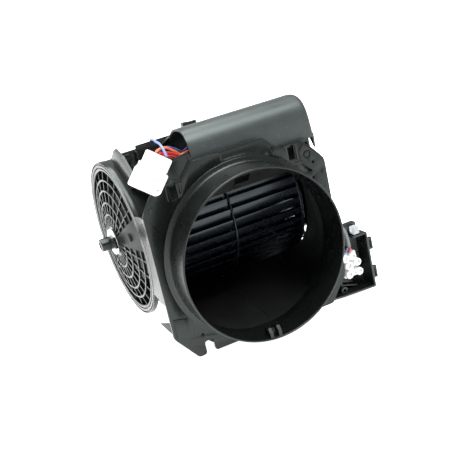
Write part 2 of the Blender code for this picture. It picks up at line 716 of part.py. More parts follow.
def terminal_tray():
    """The open-fronted box at the right, where the mains lead is joined."""
    outline = [
        (92, -36.5), (131, -36.3), (131.4, -93.5), (95.3, -91.8), (77.6, -90), (76.4, -66),
        (76.4, -46.5), (88, -46.5),
    ]
    inner = [
        (93, -38.3), (129.2, -38.1), (129.5, -91.6), (95.3, -90), (79.4, -88.4), (78.2, -66),
        (78.2, -48.3), (89, -48.3),
    ]
    tray = prism("terminal_tray", "y", [outline], TRAY_FRONT, TRAY_BACK, black_plastic())
    cut(tray, prism("tray_space", "y", [inner], TRAY_FRONT - 3, TRAY_BACK - 1.8))
    cut(tray, box("tray_entry", (106.5, 26.5, -40), (115.5, 37, -34)))
    for i, z in enumerate((-49.5, -79)):
        loop = box(f"tray_loop_{i}", (130.4, 29, z - 6), (135.6, 32.5, z + 6))
        cut(loop, box(f"tray_loop_hole_{i}", (132.2 + 0.2 * i, 28, z - 4.2), (134.2, 34, z + 4.2)))
        unite(tray, loop)
    for i, (u, v) in enumerate(((99.2, -88), (99.2, -71.5))):
        boss = rod(f"tray_boss_{i}", "y", (u, v), 3.6, 33, TRAY_BACK - 1, sides=20)
        unite(tray, boss)
        cut(tray, rod(f"tray_boss_hole_{i}", "y", (u, v), 1.5, 30, 46, sides=12))
    return tray


def terminal_block():
    """A three-way screw terminal block, on the tray's back wall."""
    back = TRAY_BACK - 1.8 - GAP
    block = box("terminal_block", (103.6, 37, -78.5), (120, back, -53.4), white_nylon())
    spots = [(106, -57.3), (114, -57), (108.5, -65.3), (118.3, -64.3), (107.5, -74.3), (118.8, -74.3)]
    for i, spot in enumerate(spots):
        unite(block, rod(f"tower_{i}", "y", spot, 3.7, 32, back - 3, sides=12))
    for i, spot in enumerate(spots):
        cut(block, rod(f"tower_hole_{i}", "y", spot, 2.3, 30, 37, sides=12))
        rod(f"terminal_screw_{i + 1}", "y", spot, 1.9, 33, 36.7, steel(), sides=12)
    return block


def tray_wiring():
    """The lead that runs behind the front plate into the tray, its clip and two cores."""
    lead = [
        (79, 14.5, 80), (79, 13.6, 60), (79, 13.6, 20), (79, 13.6, -18), (85, 18, -31),
        (97, 27, -29.5), (106, 31.5, -26.5), (110, 33, -30), (111.6, 33, -38), (111.9, 33, -46.8),
    ]
    wire("tray_lead", lead, 4.2, material("lead_sheath", (0.3, 0.31, 0.32), 0.4))
    red = [(113, 33, -47.4), (112.6, 33.2, -49.5), (112.6, 36, -51.3), (112.9, 41, -51.6)]
    blue = [(110.4, 33, -47.4), (109, 33.5, -50), (107.8, 36.5, -51.8), (107.5, 41, -52.1)]
    wire("tray_wire_red", red, 2.4, material("core_red", (0.7, 0.04, 0.03), 0.35))
    wire("tray_wire_blue", blue, 1.8, material("core_blue", (0.1, 0.2, 0.5), 0.35))
    clip = prism("cable_clip", "y", [[
        (101.5, -36.2), (101.5, -25.5), (125, -25.5), (125, -36.2), (112, -36.2), (112, -28),
        (103.5, -28), (103.5, -36.2)]], 35.5, 42, black_plastic())
    tag = box("clear_tag", (116.2, 27, -34.8), (123, 34, -27.4), white_nylon())
    return clip, tag


def plate_screws():
    """Four pan-head screws, from behind, that hold the ears of the housing to the plate."""
    seat = -(PLATE_BACK + GAP + EAR_THICK + GAP)
    tip = -(PLATE_THICK - 0.4)
    for i, (u, v) in enumerate(plate_screw_places()):
        profile = [
            (0, tip), (1.4, tip), (1.4, seat), (3.4, seat), (3.4, seat - 1.1), (2.4, seat - 1.9),
            (0, seat - 2.2),
        ]
        place = Matrix.Translation((u * MM, 0, v * MM)) @ FACING["y"]
        turned(f"plate_screw_{i + 1}", profile, place, steel(), steps=12, closed=False)


def main():
    clear_scene()
    front_plate()
    outlet_collar()
    for side, word in ((-1, "left"), (1, "right")):
        scroll_shell(side, word)
        inlet_grille(side, word)
    motor_mount_boss()
    hub_pieces()
    motor()
    rotor()
    wire_cover()
    wire_trough()
    capacitor()
    connector()
    wires()
    terminal_tray()
    terminal_block()
    tray_wiring()
    plate_screws()


main()
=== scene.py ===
import json
import math

import bmesh
import bpy
from mathutils import Matrix, Vector


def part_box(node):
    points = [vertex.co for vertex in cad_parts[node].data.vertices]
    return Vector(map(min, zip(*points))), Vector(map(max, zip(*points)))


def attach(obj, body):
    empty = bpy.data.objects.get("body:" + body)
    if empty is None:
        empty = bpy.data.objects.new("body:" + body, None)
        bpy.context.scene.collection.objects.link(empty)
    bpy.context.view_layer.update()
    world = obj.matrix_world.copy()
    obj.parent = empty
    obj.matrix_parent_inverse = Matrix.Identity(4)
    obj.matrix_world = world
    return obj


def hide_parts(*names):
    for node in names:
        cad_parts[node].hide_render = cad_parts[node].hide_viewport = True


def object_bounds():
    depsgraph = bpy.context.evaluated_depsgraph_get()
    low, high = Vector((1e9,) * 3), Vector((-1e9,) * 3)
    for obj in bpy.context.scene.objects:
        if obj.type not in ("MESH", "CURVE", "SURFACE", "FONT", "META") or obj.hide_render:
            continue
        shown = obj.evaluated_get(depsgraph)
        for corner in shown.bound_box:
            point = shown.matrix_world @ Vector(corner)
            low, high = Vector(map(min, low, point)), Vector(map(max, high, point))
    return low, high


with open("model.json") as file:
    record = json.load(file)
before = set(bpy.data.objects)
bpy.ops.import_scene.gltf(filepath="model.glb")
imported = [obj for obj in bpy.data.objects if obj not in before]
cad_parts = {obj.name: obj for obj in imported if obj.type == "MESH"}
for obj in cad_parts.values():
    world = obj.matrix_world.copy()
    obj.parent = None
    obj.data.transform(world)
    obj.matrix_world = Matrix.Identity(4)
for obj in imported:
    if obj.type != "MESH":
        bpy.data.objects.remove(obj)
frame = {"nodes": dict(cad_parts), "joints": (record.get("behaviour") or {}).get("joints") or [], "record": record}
cad_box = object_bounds()

MM = 0.001
PIVOT = Vector(frame["joints"][0]["pos_m"]) / MM  # the shaft's axis, in millimetres
ROTOR_Y, ROTOR_Z = PIVOT.y, PIVOT.z
FACING = {
    "x": Matrix(((0, 0, 1, 0), (1, 0, 0, 0), (0, 1, 0, 0), (0, 0, 0, 1))),
    "y": Matrix(((1, 0, 0, 0), (0, 0, -1, 0), (0, 1, 0, 0), (0, 0, 0, 1))),
    "z": Matrix.Identity(4),
}
ROTOR = Matrix.Translation((0, ROTOR_Y * MM, ROTOR_Z * MM))


def corner(node, which):
    """A CAD node's lowest (0) or highest (1) corner, in millimetres."""
    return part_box(node)[which] / MM


COLLAR_LENGTH = -corner("outlet_collar", 0).y
DUCT_R = 75.0  # outside of the outlet collar
DUCT_WALL = 1.8
FLANGE_R = 80.0
PLATE_HALF = corner("front_plate", 1).x
PLATE_THICK = 2.4
PLATE_BACK = corner("front_plate", 0).y + 5.0
SEAM = 6.0  # where the housing's halves meet
CASE_LEFT, CASE_RIGHT = -68.0, 76.0
CASE_BOTTOM_R = 45.0
WALL = 2.0
RIM_R = 72.0
RIM_FACE = 86.0
GRILLE_R = 64.0
DOME_RISE = 7.0
HUB_R = 14.0
RIB_COUNT = 24
WHEEL_R = 63.0
BLADE_ROOT_R = 52.0
BLADE_COUNT = 40
WIRE_D = 2.0
GAP = 0.3  # left between pieces that touch
EAR_THICK = 2.4
TRAY_FRONT, TRAY_BACK, TRAY_WALL = corner("terminal_tray", 0).y, 50.0, 1.8
COVER_END, COVER_WALL = 85.0, 1.8


# -------------------- materials

MIDDLE = (0.3, 0.7)  # the part of a texture's range that most of it lies in
SPANS = ("From Min", "From Max", "To Min", "To Max")
GRAIN_DEPTH = 0.0002  # metres
WORN_LIGHTER = 0.06


def shader_of(name):
    made = bpy.data.materials.new(name)
    made.use_nodes = True
    return made, made.node_tree, made.node_tree.nodes["Principled BSDF"]


def settle(node, values):
    """Sets a shading node's inputs by name."""
    for socket, value in values.items():
        node.inputs[socket].default_value = value
    return node


def texture(tree, kind, values):
    """A texture over the object's own coordinates, in metres."""
    place = tree.nodes.new("ShaderNodeTexCoord")
    made = settle(tree.nodes.new(kind), values)
    tree.links.new(place.outputs["Object"], made.inputs["Vector"])
    return made.outputs["Fac"]


def spread(tree, source, spans, way="LINEAR"):
    """The source's values from one span brought to another: from low, from high, to low, to high."""
    made = settle(tree.nodes.new("ShaderNodeMapRange"), dict(zip(SPANS, spans)))
    made.interpolation_type = way
    tree.links.new(source, made.inputs["Value"])
    return made.outputs["Result"]


def two_tone(tree, source, dark, light):
    """The source's middle range as a mix of two colours."""
    blend = tree.nodes.new("ShaderNodeValToRGB")
    for stop, position, colour in zip(blend.color_ramp.elements, MIDDLE, (dark, light)):
        stop.position = position
        stop.color = (*colour, 1)
    tree.links.new(source, blend.inputs["Fac"])
    return blend.outputs["Color"]


def moulded(name, colour, roughness, grain=0.15, mottle=0.12, metallic=0.0, scuff=0.0,
            tint=(1, 1, 1), sheen=0.5):
    """A moulded or machined surface: uneven in colour and gloss, with a fine grain and faint scuffs."""
    made, tree, shader = shader_of(name)
    settle(shader, {"Specular Tint": (*tint, 1), "Specular IOR Level": sheen, "Metallic": metallic})
    broad = texture(tree, "ShaderNodeTexNoise", {"Scale": 45, "Detail": 4})
    fine = texture(tree, "ShaderNodeTexNoise", {"Scale": 1400, "Detail": 2})
    dark = [c * (1 - mottle) for c in colour]
    light = [c * (1 + mottle) for c in colour]
    base = two_tone(tree, broad, dark, light)
    if scuff:
        worn = texture(tree, "ShaderNodeTexNoise", {"Scale": 260, "Detail": 8, "Distortion": 1.5})
        mix = tree.nodes.new("ShaderNodeMix")
        mix.data_type = "RGBA"
        tree.links.new(spread(tree, worn, (*MIDDLE, -0.6, scuff)), mix.inputs["Factor"])
        tree.links.new(base, mix.inputs["A"])
        mix.inputs["B"].default_value = (*[WORN_LIGHTER + c for c in colour], 1)
        base = mix.outputs["Result"]
    tree.links.new(base, shader.inputs["Base Color"])
    rough = spread(tree, broad, (*MIDDLE, roughness * 0.85, roughness * 1.2))
    tree.links.new(rough, shader.inputs["Roughness"])
    bump = settle(tree.nodes.new("ShaderNodeBump"), {"Strength": grain, "Distance": GRAIN_DEPTH})
    tree.links.new(fine, bump.inputs["Height"])
    tree.links.new(bump.outputs["Normal"], shader.inputs["Normal"])
    return made


def banded(name, scale, waver, dark, light, metallic, roughness):
    """Metal in fine lines, as a coil's varnished turns or a stack of laminations."""
    made, tree, shader = shader_of(name)
    lines = texture(tree, "ShaderNodeTexWave", {"Scale": scale, "Distortion": waver})
    tree.links.new(two_tone(tree, lines, dark, light), shader.inputs["Base Color"])
    settle(shader, {"Metallic": metallic, "Roughness": roughness})
    return made


def clear_plastic():
    """Thin clear plastic that is partly see-through, with a slightly uneven surface."""
    made = moulded("clear_plastic", (0.8, 0.84, 0.88), 0.12, mottle=0.03)
    settle(made.node_tree.nodes["Principled BSDF"], {"Transmission Weight": 0.6, "IOR": 1.3})
    return made


COOL = (0.88, 1.0, 0.96)  # the faint green cast of the plastics' reflections
BLUISH = (0.8, 0.93, 1)
FINISHES = {  # colour, roughness, and what else differs from plain plastic
    "housing_black": ((0.005, 0.0062, 0.006), 0.27, {"scuff": 0.1, "tint": COOL}),
    "grille_black": ((0.012, 0.015, 0.014), 0.45, {"scuff": 0.1, "tint": COOL, "sheen": 0.2}),
    "plate_black": ((0.005, 0.0062, 0.006), 0.27, {"scuff": 0.1, "tint": COOL, "sheen": 0.38}),
    "shell_black": ((0.0115, 0.0125, 0.0115), 0.4, {"scuff": 0.08, "tint": COOL, "sheen": 0.4}),
    "cover_grey": ((0.03, 0.036, 0.036), 0.36, {"grain": 0.25, "scuff": 0.25, "tint": COOL}),
    "wheel_black": ((0.004, 0.006, 0.009), 0.27, {"tint": BLUISH}),
    "nylon_white": ((0.88, 0.885, 0.88), 0.45, {"mottle": 0.02}),
    "steel_zinc": ((0.62, 0.63, 0.65), 0.32, {"mottle": 0.08, "metallic": 1.0}),
    "motor_aluminium": ((0.1, 0.105, 0.115), 0.5, {"grain": 0.5, "metallic": 1.0}),
    "capacitor_grey": ((0.72, 0.73, 0.75), 0.4, {"mottle": 0.03}),
    "sheath_grey": ((0.16, 0.17, 0.17), 0.4, {"mottle": 0.08}),
}
for name, colour, roughness, mottle in (
        ("violet", (0.075, 0.07, 0.26), 0.3, 0.06), ("orange", (0.78, 0.23, 0.1), 0.35, 0.06),
        ("red", (0.6, 0.03, 0.025), 0.3, 0.06), ("light_blue", (0.17, 0.25, 0.55), 0.35, 0.05),
        ("blue", (0.12, 0.22, 0.5), 0.35, 0.05)):
    FINISHES[f"insulation_{name}"] = (colour, roughness, {"mottle": mottle})
MATERIALS = {
    name: moulded(name, colour, roughness, **more)
    for name, (colour, roughness, more) in FINISHES.items()
}
MATERIALS["clear_plastic"] = clear_plastic()
MATERIALS["copper"] = banded("copper", 300, 3, (0.3, 0.09, 0.03), (0.72, 0.3, 0.13), 0.8, 0.35)
MATERIALS["core_steel"] = banded(
    "core_steel", 320, 0.2, (0.16, 0.16, 0.17), (0.42, 0.42, 0.43), 1.0, 0.45
)


# -------------------- building blocks

EDGE_ANGLE = 32  # degrees, above which an edge is kept sharp or is rounded
FLAT_ANGLE = 0.6  # degrees, below which faces are merged into one flat
SLIVER, WELD = 3e-6, 2e-6  # metres, the length of the scraps that cutting leaves
SLIT_SIDES = 6


def put(name, mesh, matrix=None):
    made = bpy.data.objects.new(name, mesh)
    bpy.context.scene.collection.objects.link(made)
    if matrix is not None:
        made.matrix_world = matrix
    return made


def put_shape(name, shape, matrix=None):
    mesh = bpy.data.meshes.new(name)
    shape.to_mesh(mesh)
    shape.free()
    return put(name, mesh, matrix)


def baked(source):
    """The object's evaluated shape as a plain welded mesh, in world space, in its place."""
    bpy.context.view_layer.update()
    graph = bpy.context.evaluated_depsgraph_get()
    mesh = bpy.data.meshes.new_from_object(source.evaluated_get(graph))
    mesh.transform(source.matrix_world)
    shape = bmesh.new()
    shape.from_mesh(mesh)
    bmesh.ops.remove_doubles(shape, verts=shape.verts, dist=WELD)
    slits = [edge for edge in shape.edges if edge.is_boundary]
    bmesh.ops.holes_fill(shape, edges=slits, sides=SLIT_SIDES)
    bmesh.ops.recalc_face_normals(shape, faces=shape.faces)
    shape.to_mesh(mesh)
    shape.free()
    name = source.name
    bpy.data.objects.remove(source, do_unlink=True)
    return put(name, mesh)


def smooth(obj, angle=EDGE_ANGLE):
    obj.data.shade_smooth()
    obj.data.set_sharp_from_angle(angle=math.radians(angle))
    return obj


def rounded(obj, width=0.35, segments=2):
    """Its flat faces merged and its sharp edges rounded."""
    shape = bmesh.new()
    shape.from_mesh(obj.data)
    bmesh.ops.remove_doubles(shape, verts=shape.verts, dist=SLIVER)
    bmesh.ops.dissolve_degenerate(shape, dist=SLIVER, edges=shape.edges)
    bmesh.ops.dissolve_limit(
        shape, angle_limit=math.radians(FLAT_ANGLE), verts=shape.verts, edges=shape.edges
    )
    shape.to_mesh(obj.data)
    shape.free()
    step = obj.modifiers.new("edges", "BEVEL")
    step.width = width * MM
    step.segments = segments
    step.limit_method = "ANGLE"
    step.angle_limit = math.radians(EDGE_ANGLE)
    step.miter_outer = "MITER_ARC"
    even = obj.modifiers.new("flat_faces", "WEIGHTED_NORMAL")
    even.keep_sharp = True
    return smooth(baked(obj), 40)


def prism(name, facing, outlines, low, high):
    """A flat outline, with any holes, filled and extruded from low to high along the facing."""
    curve = bpy.data.curves.new(name, "CURVE")
    curve.dimensions = "2D"
    curve.fill_mode = "BOTH"
    curve.extrude = (high - low) / 2 * MM
    for outline in outlines:
        spline = curve.splines.new("POLY")
        spline.points.add(len(outline) - 1)
        for spot, (u, v) in zip(spline.points, outline):
            spot.co = (u * MM, v * MM, 0, 1)
        spline.use_cyclic_u = True
    middle = (low + high) / 2 * MM
    place = {"x": (middle, 0, 0), "y": (0, middle, 0), "z": (0, 0, middle)}[facing]
    return baked(put(name, curve, Matrix.Translation(place) @ FACING[facing]))


def box(name, low, high):
    outline = [(low[0], low[2]), (high[0], low[2]), (high[0], high[2]), (low[0], high[2])]
    return prism(name, "y", [outline], low[1], high[1])


def turned(name, profile, place, steps=128, closed=True):
    """A profile of (radius, height) points turned about the place's local Z axis."""
    shape = bmesh.new()
    rows = []
    for radius, height in profile:
        if radius == 0:
            rows.append([shape.verts.new((0, 0, height * MM))] * steps)
        else:
            turns = [2 * math.pi * i / steps for i in range(steps)]
            rows.append([
                shape.verts.new((radius * math.cos(a) * MM, radius * math.sin(a) * MM, height * MM))
                for a in turns
            ])
    if closed:
        rows.append(rows[0])
    for one, other in zip(rows, rows[1:]):
        for i in range(steps):
            j = (i + 1) % steps
            spots = list(dict.fromkeys((one[i], one[j], other[j], other[i])))
            if len(spots) > 2:
                shape.faces.new(spots)
    return smooth(baked(put_shape(name, shape, place)))


def turned_x(name, profile, steps=128, closed=True):
    return turned(name, profile, ROTOR @ FACING["x"], steps, closed)


def turned_y(name, profile, centre, steps=32):
    """A profile about an axis along Y, with its heights measured towards -Y."""
    place = Matrix.Translation((centre[0] * MM, 0, centre[1] * MM)) @ FACING["y"]
    return turned(name, profile, place, steps, closed=False)


def rod(name, facing, centre, radius, low, high, sides=48):
    return prism(name, facing, [circle(radius, sides, centre)], low, high)


def circle(radius, count, centre=(0.0, 0.0)):
    step = 2 * math.pi / count
    return [
        (centre[0] + radius * math.cos(i * step), centre[1] + radius * math.sin(i * step))
        for i in range(count)
    ]


def arc(centre, radius, first, last, count):
    """Points along an arc, with its angles in degrees."""
    found = []
    for i in range(count + 1):
        turn = math.radians(first + (last - first) * i / count)
        found.append((centre[0] + radius * math.cos(turn), centre[1] + radius * math.sin(turn)))
    return found


def soft_corners(outline, radius, count=4):
    """An outline with each corner rounded."""
    spots = [Vector(p) for p in outline]
    found = []
    for i, here in enumerate(spots):
        before, after = spots[i - 1], spots[(i + 1) % len(spots)]
        to_before, to_after = before - here, after - here
        reach = min(radius, to_before.length * 0.45, to_after.length * 0.45)
        a = here + to_before.normalized() * reach
        b = here + to_after.normalized() * reach
        for k in range(count + 1):
            t = k / count
            found.append(tuple((1 - t) ** 2 * a + 2 * t * (1 - t) * here + t * t * b))
    return found


def joined(name, pieces):
    """Several shapes as one mesh, to use in a Boolean."""
    shape = bmesh.new()
    for piece in pieces:
        shape.from_mesh(piece.data)
        bpy.data.objects.remove(piece, do_unlink=True)
    return put_shape(name, shape)


def combine(target, operation, *tools):
    for tool in tools:
        step = target.modifiers.new(tool.name, "BOOLEAN")
        step.operation = operation
        step.solver = "EXACT"
        step.object = tool
    made = baked(target)
    for tool in tools:
        bpy.data.objects.remove(tool, do_unlink=True)
    return made


def unite(target, *tools):
    return combine(target, "UNION", *tools)


def cut(target, *tools):
    return combine(target, "DIFFERENCE", *tools)


def common(target, tool):
    return combine(target, "INTERSECT", tool)


def turned_about_x(obj, degrees):
    spin = ROTOR @ Matrix.Rotation(math.radians(degrees), 4, "X") @ ROTOR.inverted()
    obj.data.transform(spin)
    return obj


def finished(obj, material, *nodes, body="housing"):
    """Its material, the body it rides on and the CAD nodes it stands for."""
    obj.data.materials.clear()
    obj.data.materials.append(MATERIALS[material])
    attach(obj, body)
    if nodes:
        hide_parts(*nodes)
    return obj


ROUTE_STEPS = 24


def smooth_route(points, spacing):
    """Places at an even spacing along a smooth curve through the points."""
    spots = [Vector(p) for p in points]
    spots = [2 * spots[0] - spots[1]] + spots + [2 * spots[-1] - spots[-2]]
    fine = []
    for a, b, c, d in zip(spots, spots[1:], spots[2:], spots[3:]):
        for i in range(ROUTE_STEPS):
            t = i / ROUTE_STEPS
            fine.append(
                0.5 * (2 * b + (c - a) * t + (2 * a - 5 * b + 4 * c - d) * t ** 2
                       + (3 * b - a - 3 * c + d) * t ** 3)
            )
    fine.append(spots[-2])
    lengths = [(q - p).length for p, q in zip(fine, fine[1:])]
    count = max(4, round(sum(lengths) / spacing))
    step = sum(lengths) / count
    route, covered, wanted = [fine[0]], 0.0, step
    for p, q, length in zip(fine, fine[1:], lengths):
        while covered + length >= wanted - 1e-9 and len(route) < count:
            route.append(p.lerp(q, (wanted - covered) / length))
            wanted += step
        covered += length
    return route + [fine[-1]]


def wire_mesh(name, points, diameter):
    """A round solid of even thickness along a smooth curve through the points."""
    curve = bpy.data.curves.new(name, "CURVE")
    curve.dimensions = "3D"
    curve.bevel_depth = diameter / 2 * MM
    curve.bevel_resolution = 5
    curve.use_fill_caps = True
    route = smooth_route(points, 0.8)
    spline = curve.splines.new("POLY")
    spline.points.add(len(route) - 1)
    for spot, place in zip(spline.points, route):
        spot.co = (*(place * MM), 1)
    return smooth(baked(put(name, curve)), 60)


def wire(node, diameter, material, points):
    """A wire along its route."""
    finished(wire_mesh(f"{node}_fine", points, diameter), material, node)


# -------------------- front plate and collar

PLATE_SCREWS = [(-77.5, 44), (-77.5, -34), (79.5, 44), (79.5, -34)]
PANEL_PIT = (74, 55.2)
PIT_R = 1.3


def plate_outline():
    return [
        (-52, -78), (-52, -66.5), (-60.5, -66.5), (-60.5, -78), (-68, -78.5), (-86, -54.5),
        (-86, 56.5), (-76, 71.5), (-63, 76.5), (-57, 80), (-56, 94.3), (-35, 96.5), (-34, 89.5),
        (32, 89), (42, 79), (48, 75.5), (63, 76.5), (68, 75.2), (75.3, 68), (82.5, 59.5), (86, 54),
        (86, -54.5), (68, -78.5),
    ]


def front_plate():
    """The front plate with its cheeks, its slots, its sunk fields and its screw bosses."""
    slots = [
        [(side * u, v) for u, v in ((52.5, 62.7), (58.5, 62.7), (58.5, 75.2), (52.5, 75.2))]
        for side in (-1, 1)
    ]
    outline = soft_corners(plate_outline(), 2.5)
    plate = prism("front_plate_shell", "y", [outline, circle(DUCT_R + 0.4, 160), *slots],
                  0, PLATE_THICK)
    sunk = [
        [(-54.6, 78.6), (-54, 92.6), (-37, 94.2), (-36.2, 89.8), (-48, 77)],
        [(52.5, 56.9), (63.6, 56.9), (72.6, 47.6), (66.4, 46.6)],
        [(-8, 88), (-8, 81.2), *arc((0, 0), FLANGE_R + 0.6, 94, 65, 12), (40, 79), (31.5, 87.6)],
    ]
    pockets = [prism("sunk", "y", [soft_corners(field, 0.8)], -2, 1.2) for field in sunk]
    pits = [rod("pit", "y", spot, PIT_R, -2, 1.8, 24) for spot in (PANEL_PIT, (72, 41.2), (-60.5, -59.2))]
    plate = cut(plate, joined("pockets", pockets), joined("pits", pits))
    for side in (-1, 1):
        edges = sorted((side * PLATE_HALF, side * (PLATE_HALF - 2)))
        web = prism("web", "x", [[(1.2, -24), (40, -17), (40, 50), (1.2, 56)]], *edges)
        reach = sorted((side * (PLATE_HALF + 3), side * (PLATE_HALF - 5)))
        gap = rod("gap", "x", (ROTOR_Y, ROTOR_Z), RIM_R + 0.5, *reach, sides=128)
        plate = unite(plate, cut(web, gap))
    bosses = [rod("boss", "y", spot, 3.1, 1.2, PLATE_BACK, 32) for spot in PLATE_SCREWS]
    pilots = [rod("pilot", "y", spot, 1.6, 1.7, PLATE_BACK + 2, 20) for spot in PLATE_SCREWS]
    return cut(unite(plate, joined("bosses", bosses)), joined("pilots", pilots))


def plate_relief():
    """The low panels, ribs and pads moulded on the plate's face, each with its height."""
    clear = FLANGE_R + 0.6
    panels = [
        ([(-35.2, 89.0), (-47, 76.5), (-48.9, 64.6), *arc((0, 0), clear, 127, 97, 14), (-9.5, 88.6)], 1.0),
        ([(42.4, 79.1), (48, 75.4), (51.2, 75.8), (51.2, 63.2), *arc((0, 0), clear, 51, 64, 8)], 1.0),
        ([(62.3, 67), (67.4, 73), (74.2, 66.6), (81.2, 58.4), (84.3, 53.5), (84.3, 49.5),
          (76.3, 47.3), (73, 47.4), (62.6, 61)], 0.8),
        ([(-83, -37), (-70, -40), (-72, -51), (-83, -55)], 0.7),
        ([(-62.4, 62), (-61, 62), (-61, 75.6), (-62.4, 75.6)], 0.9),
        ([(-51.8, 65.4), (-49.9, 65.4), (-49.9, 75.4), (-51.8, 75.4)], 0.9),
        ([(59.4, 61.6), (61.8, 61.6), (61.8, 75), (59.4, 75)], 0.9),
        ([(57.6, 58), (64.6, 58), (65.4, 59), (57.6, 59)], 0.8),
    ]
    found = []
    for i, (outline, height) in enumerate(panels):
        piece = prism(f"plate_panel_{i + 1}", "y", [soft_corners(outline, 0.9)], -height, 0.4)
        if i == 2:
            ring = prism("ring", "y", [circle(3.6, 40, (69.4, 63.6)), circle(2.3, 40, (69.4, 63.6))],
                         -height - 1, 0.0)
            piece = cut(piece, ring, rod("pit", "y", PANEL_PIT, PIT_R, -3, 1, 24))
        found.append(rounded(piece, 0.3))
    for spot in ((83.2, 43.6), (-78, 60)):
        stud = [(0, 1.0), (1.2, 1.0), (1.5, 0.9), (2.0, 0.9), (2.2, 0.6), (2.2, -0.3), (0, -0.3)]
        found.append(turned_y(f"plate_stud_{len(found)}", stud, spot, 32))
    return found


def build_front():
    finished(rounded(front_plate(), 0.55, segments=3), "plate_black", "front_plate")
    for piece in plate_relief():
        finished(piece, "plate_black")
    fin = prism("plate_fin", "x", [[(1.2, -40), (38, -52), (1.2, -52.5)]], -84.6, -83)
    finished(rounded(fin, 0.2), "grille_black", "front_plate")
    seat = -(PLATE_BACK + GAP + EAR_THICK + GAP)
    pan = [
        (0, -2.2), (1.4, -2.2), (1.4, seat), (3.3, seat), (3.45, seat - 0.2), (3.4, seat - 0.8),
        (2.8, seat - 1.6), (1.8, seat - 2.1), (0, seat - 2.2),
    ]
    near = -seat + 1.0
    for i, (u, v) in enumerate(PLATE_SCREWS):
        screw = turned_y(f"plate_screw_fine_{i + 1}", pan, (u, v), 40)
        cross = [box("a", (u - 1.9, near, v - 0.4), (u + 1.9, near + 4, v + 0.4)),
                 box("b", (u - 0.4, near, v - 1.9), (u + 0.4, near + 4, v + 1.9))]
        screw = smooth(cut(screw, *cross))
        finished(screw, "steel_zinc", f"plate_screw_{i + 1}")


def build_collar():
    inner = DUCT_R - DUCT_WALL
    profile = [
        (inner, -2.0), *arc((inner + DUCT_WALL / 2, COLLAR_LENGTH - DUCT_WALL / 2), DUCT_WALL / 2,
                            180, 0, 8), (DUCT_R, 6.5),
        (75.5, 4.2), (76.8, 2.9), (79.6, 2.2), (FLANGE_R, 1.8), (FLANGE_R, 0.3), (DUCT_R, 0.3),
        (DUCT_R, -2.0),
    ]
    collar = turned("duct_collar", profile, FACING["y"], 200)
    prongs = []
    for x in (-12, -4):
        outline = [(-COLLAR_LENGTH + 1, -inner - 0.9), (-20, -inner - 0.9), (-20, -inner + 6),
                   (-22, -inner + 9), (-COLLAR_LENGTH + 4, -inner + 9),
                   (-COLLAR_LENGTH + 1, -inner + 5)]
        prongs.append(prism("prong", "x", [outline], x, x + 3))
    bridge = box("bridge", (-12, -23, -inner - 0.9), (-1, -20.5, -inner + 6))
    collar = rounded(unite(collar, *prongs, bridge), 0.25)
    finished(collar, "plate_black", "outlet_collar")


# -------------------- scroll housing

SCROLL_START, SCROLL_END = 24.5, 261.0  # degrees from the front, over the top
SCROLL_FIRST_R, SCROLL_GROWTH = 67.5, 8.0
THROAT_FRONT, THROAT_TOP = 3.0, 73.2


def scroll_radius(angle):
    return SCROLL_FIRST_R + SCROLL_GROWTH * (angle - SCROLL_START) / (SCROLL_END - SCROLL_START)


def scroll_point(radius, angle):
    turn = math.radians(angle)
    return (ROTOR_Y - radius * math.cos(turn), ROTOR_Z + radius * math.sin(turn))


def scroll_outline(offset, count=80):
    """The spiral housing seen along the shaft: its inside, or its outside at an offset."""
    start = SCROLL_START + 1.25 * offset
    angles = [SCROLL_END + (start - SCROLL_END) * i / count for i in range(count + 1)]
    spiral = [scroll_point(scroll_radius(angle) + offset, angle) for angle in angles]
    front = -5.0 if offset == 0 else PLATE_THICK + 0.3
    foot, slope = spiral[0], math.tan(math.radians(270 - SCROLL_END))
    low_front = (front, foot[1] - (foot[0] - front) * slope)
    throat_top = [(THROAT_FRONT, THROAT_TOP), (front, THROAT_TOP)]
    return [low_front] + spiral + (throat_top if offset == 0 else [(front, THROAT_TOP + 3)])


def housing_section(offset):
    """The housing seen from the front, with its rounded lower corners."""
    radius = CASE_BOTTOM_R - offset
    left, right = CASE_LEFT + offset, CASE_RIGHT - offset
    bottom = -82.0 + offset
    outline = [(left, 100.0)]
    outline += arc((left + radius, bottom + radius), radius, 180, 270, 24)
    outline += arc((right - radius, bottom + radius), radius, 270, 360, 24)
    return outline + [(right, 100.0)]


def ceiling_band(first, last, low, high):
    """A band along the throat's slanted ceiling from Y first to last, from low to high above it."""
    tongue = scroll_point(scroll_radius(SCROLL_START), SCROLL_START)
    a, b = Vector((THROAT_FRONT, THROAT_TOP)), Vector(tongue)
    along = (b - a).normalized()
    up = Vector((-along.y, along.x))
    near, far = a + along * (first - a.x) / along.x, a + along * (last - a.x) / along.x
    return [tuple(p) for p in (near + up * low, far + up * low, far + up * high, near + up * high)]


def seam_lip(side):
    """The raised lip along the joint of the housing's halves, round the back of the scroll."""
    reach = (SEAM - 2.2, SEAM - 0.15) if side < 0 else (SEAM + 0.15, SEAM + 2.2)
    angles = [SCROLL_START + 40 + (SCROLL_END - SCROLL_START - 44) * i / 60 for i in range(61)]
    over = [scroll_point(scroll_radius(angle) + WALL + 1.0, angle) for angle in angles]
    under = [scroll_point(scroll_radius(angle) + WALL - 0.6, angle) for angle in reversed(angles)]
    return prism("lip", "x", [over + under], *reach)


def seam_catches():
    """Snap catches across the joint, round the back of the scroll."""
    found = []
    for angle in (85, 125, 165, 205, 240):
        base = scroll_radius(angle) + WALL - 0.5
        outline = [scroll_point(base + up, angle + turn) for up, turn in
                   ((0, -3), (2.6, -3), (3.2, -2.4), (3.2, 2.4), (2.6, 3), (0, 3))]
        found.append(prism("catch", "x", [outline], SEAM - 7, SEAM + 4))
    return found


